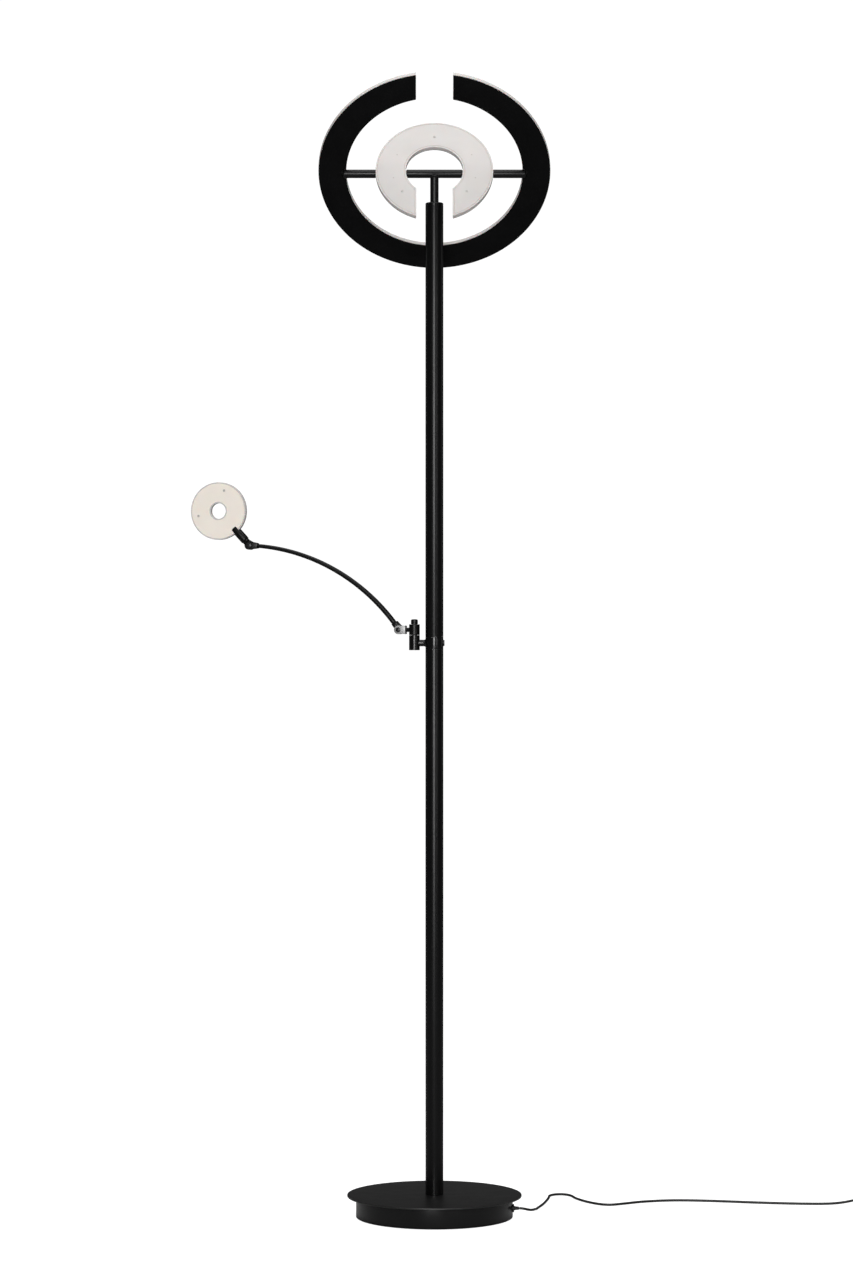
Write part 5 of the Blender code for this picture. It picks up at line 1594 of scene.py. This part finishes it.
class LAMP_OT_reading_head(bpy.types.Operator):
    """Make the neck, the slotted clamp and the ring-shaped reading head"""

    bl_idname = "lamp.reading_head"
    bl_label = "Reading head"

    def execute(self, context):
        place = HOLDER_PLACE
        profile = [(0.0, NECK_START, False), (NECK_RADIUS, NECK_START, False), (NECK_RADIUS, NECK_END, True),
                   (0.0, NECK_END, False)]
        neck = turned(rounded(profile, 0.0003)[1:-1], 64)
        neck.transform(along_x())
        shape = knuckle_shape(False, NECK_REACH, BLOCK_HALF_WIDTH, 0.0, extra=neck)
        piece("neck", shape, place, ["satin"], "head_joint", ["holder_neck"])
        self.clamp(place)
        self.disc(place)
        return {"FINISHED"}

    def clamp(self, place):
        """The round clamp with chamfered ends and the slot that holds the rim."""
        start, end, radius = CLAMP_START, CLAMP_END, CLAMP_RADIUS
        chamfer = 0.0009
        profile = [(radius - chamfer, start), (radius, start + chamfer), (radius, end - chamfer),
                   (radius - chamfer, end)]
        shape = turned(profile)
        shape.transform(along_x())
        tool = box_shape((RIM_SLOT_START, -RIM_SLOT_HALF, -0.02), (0.06, RIM_SLOT_HALF, 0.02))
        shape = carved(shape, tool)
        core = prism(ring_of(CLAMP_BORE, SMALL_FACETS), 0.005, CLAMP_BORE_END)
        core.transform(along_x())
        shape = softened(carved(shape, core), 0.0003, 2)
        piece("rim_clamp", shape, place, ["satin"], "reading_head", ["holder_clamp"])

    def disc(self, place):
        """The reading head's tray, back plate and screws."""
        radius, hole, half = 0.046, 0.0125, 0.00475
        turn = place @ Matrix.Translation((HEAD_CENTRE, 0.0, 0.0)) @ along_y()
        back = -half + 0.0018
        border, groove, edge = 0.0016, 0.0004, 0.0005
        wall = 0.0015
        levels = [(wall, half - wall), (wall, back + 0.0002), (wall - 0.0002, back), (0.0002, back),
                  (0.0, back + 0.0002)]
        for x, y in arc(edge, 0.0, math.radians(90), 5):
            levels.append((edge - x, half - edge + y))
        levels += [(border, half), (border + groove * 0.3, half - groove * 0.7),
                   (border + groove * 0.8, half - groove * 0.7), (border + groove * 1.2, half - 0.00005)]
        obj = piece("reading_tray", turned_ring(circle_loops(radius, hole, levels), RING_FACETS), turn,
                    ["reading_painted_light", "border"], "reading_head", ["reading_diffuser"])
        # The border and walls take the painted edge shading, and the face inside the groove takes the reading
        # head's diffuser.
        inverse = turn.inverted()
        for face in obj.data.polygons:
            spot = inverse @ face.center
            radial = math.hypot(spot.x, spot.y)
            inset = min(radius - radial, radial - hole)
            face.material_index = 0 if inset > border + groove and spot.z > half - 0.001 else 1
        plate = circle_loops(radius - 0.0006, hole + 0.0006, plate_levels(-half, 0.0015 - half))
        back_plate = turned_ring(plate, RING_FACETS)
        piece("reading_plate", back_plate, turn, ["satin"], "reading_head",
              ["reading_back_plate"])
        spots = []
        for angle in (60, -60):
            t = math.radians(angle)
            x = HEAD_CENTRE + READING_SCREW_CIRCLE * math.cos(t)
            spots.append(place @ Vector((x, half + 0.0002, READING_SCREW_CIRCLE * math.sin(t))))
        fasteners("reading_screws", "cross", spots, KNUCKLE_AXIS, FACE_SCREW_RADIUS, FACE_SCREW_HEIGHT,
                  "pale", "reading_head", ["reading_screw_1", "reading_screw_2"])


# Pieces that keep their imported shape

INSIDE_FINISHES = {
    "bottom_cover": "steel", "bottom_cover_screw_1": "steel", "bottom_cover_screw_2": "steel",
    "bottom_cover_screw_3": "steel", "ballast": "iron", "led_driver": "white", "terminal_block": "white",
    "pole_nipple": "steel", "pole_nut": "steel", "pole_foot_bush": "steel", "pole_coupler": "steel",
    "ring_axle": "steel", "pole_cable": "black_plastic", "outer_led_board": "board",
    "inner_led_board": "board", "reading_led_board": "board", "inner_bush_left": "brass",
    "inner_bush_right": "brass", "holder_pin": "steel",
}


class LAMP_OT_inside(bpy.types.Operator):
    """Finish the pieces inside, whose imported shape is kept"""

    bl_idname = "lamp.inside"
    bl_label = "Inside pieces"

    def execute(self, context):
        for node, key in INSIDE_FINISHES.items():
            mesh = frame["nodes"][node].data
            mesh.materials.clear()
            mesh.materials.append(finish(key))
        return {"FINISHED"}


class LAMP_PT_panel(bpy.types.Panel):
    """The lamp's panel in the sidebar"""

    bl_label = "Ring torchiere"
    bl_idname = "LAMP_PT_panel"
    bl_space_type = "VIEW_3D"
    bl_region_type = "UI"
    bl_category = "Lamp"

    def draw(self, context):
        for group in (context.scene.lamp_sizes, context.scene.lamp_colours):
            for name in group.__annotations__:
                self.layout.prop(group, name)
        for operator in OPERATORS:
            self.layout.operator(operator.bl_idname)


OPERATORS = (LAMP_OT_stage, LAMP_OT_cord, LAMP_OT_base, LAMP_OT_pole, LAMP_OT_outer_ring, LAMP_OT_inner_ring,
             LAMP_OT_swivel, LAMP_OT_arm, LAMP_OT_reading_head, LAMP_OT_inside)
CLASSES = (LampSizes, LampColours, *OPERATORS, LAMP_PT_panel)


def register():
    """Add the add-on's classes and settings."""
    for cls in CLASSES:
        bpy.utils.register_class(cls)
    bpy.types.Scene.lamp_sizes = PointerProperty(type=LampSizes)
    bpy.types.Scene.lamp_colours = PointerProperty(type=LampColours)


def unregister():
    """Take the add-on's classes and settings away."""
    del bpy.types.Scene.lamp_colours
    del bpy.types.Scene.lamp_sizes
    for cls in reversed(CLASSES):
        bpy.utils.unregister_class(cls)


def main():
    """Build the lamp."""
    register()
    for operator in OPERATORS:
        group, name = operator.bl_idname.split(".")
        getattr(getattr(bpy.ops, group), name)()


if __name__ == "__main__":
    main()
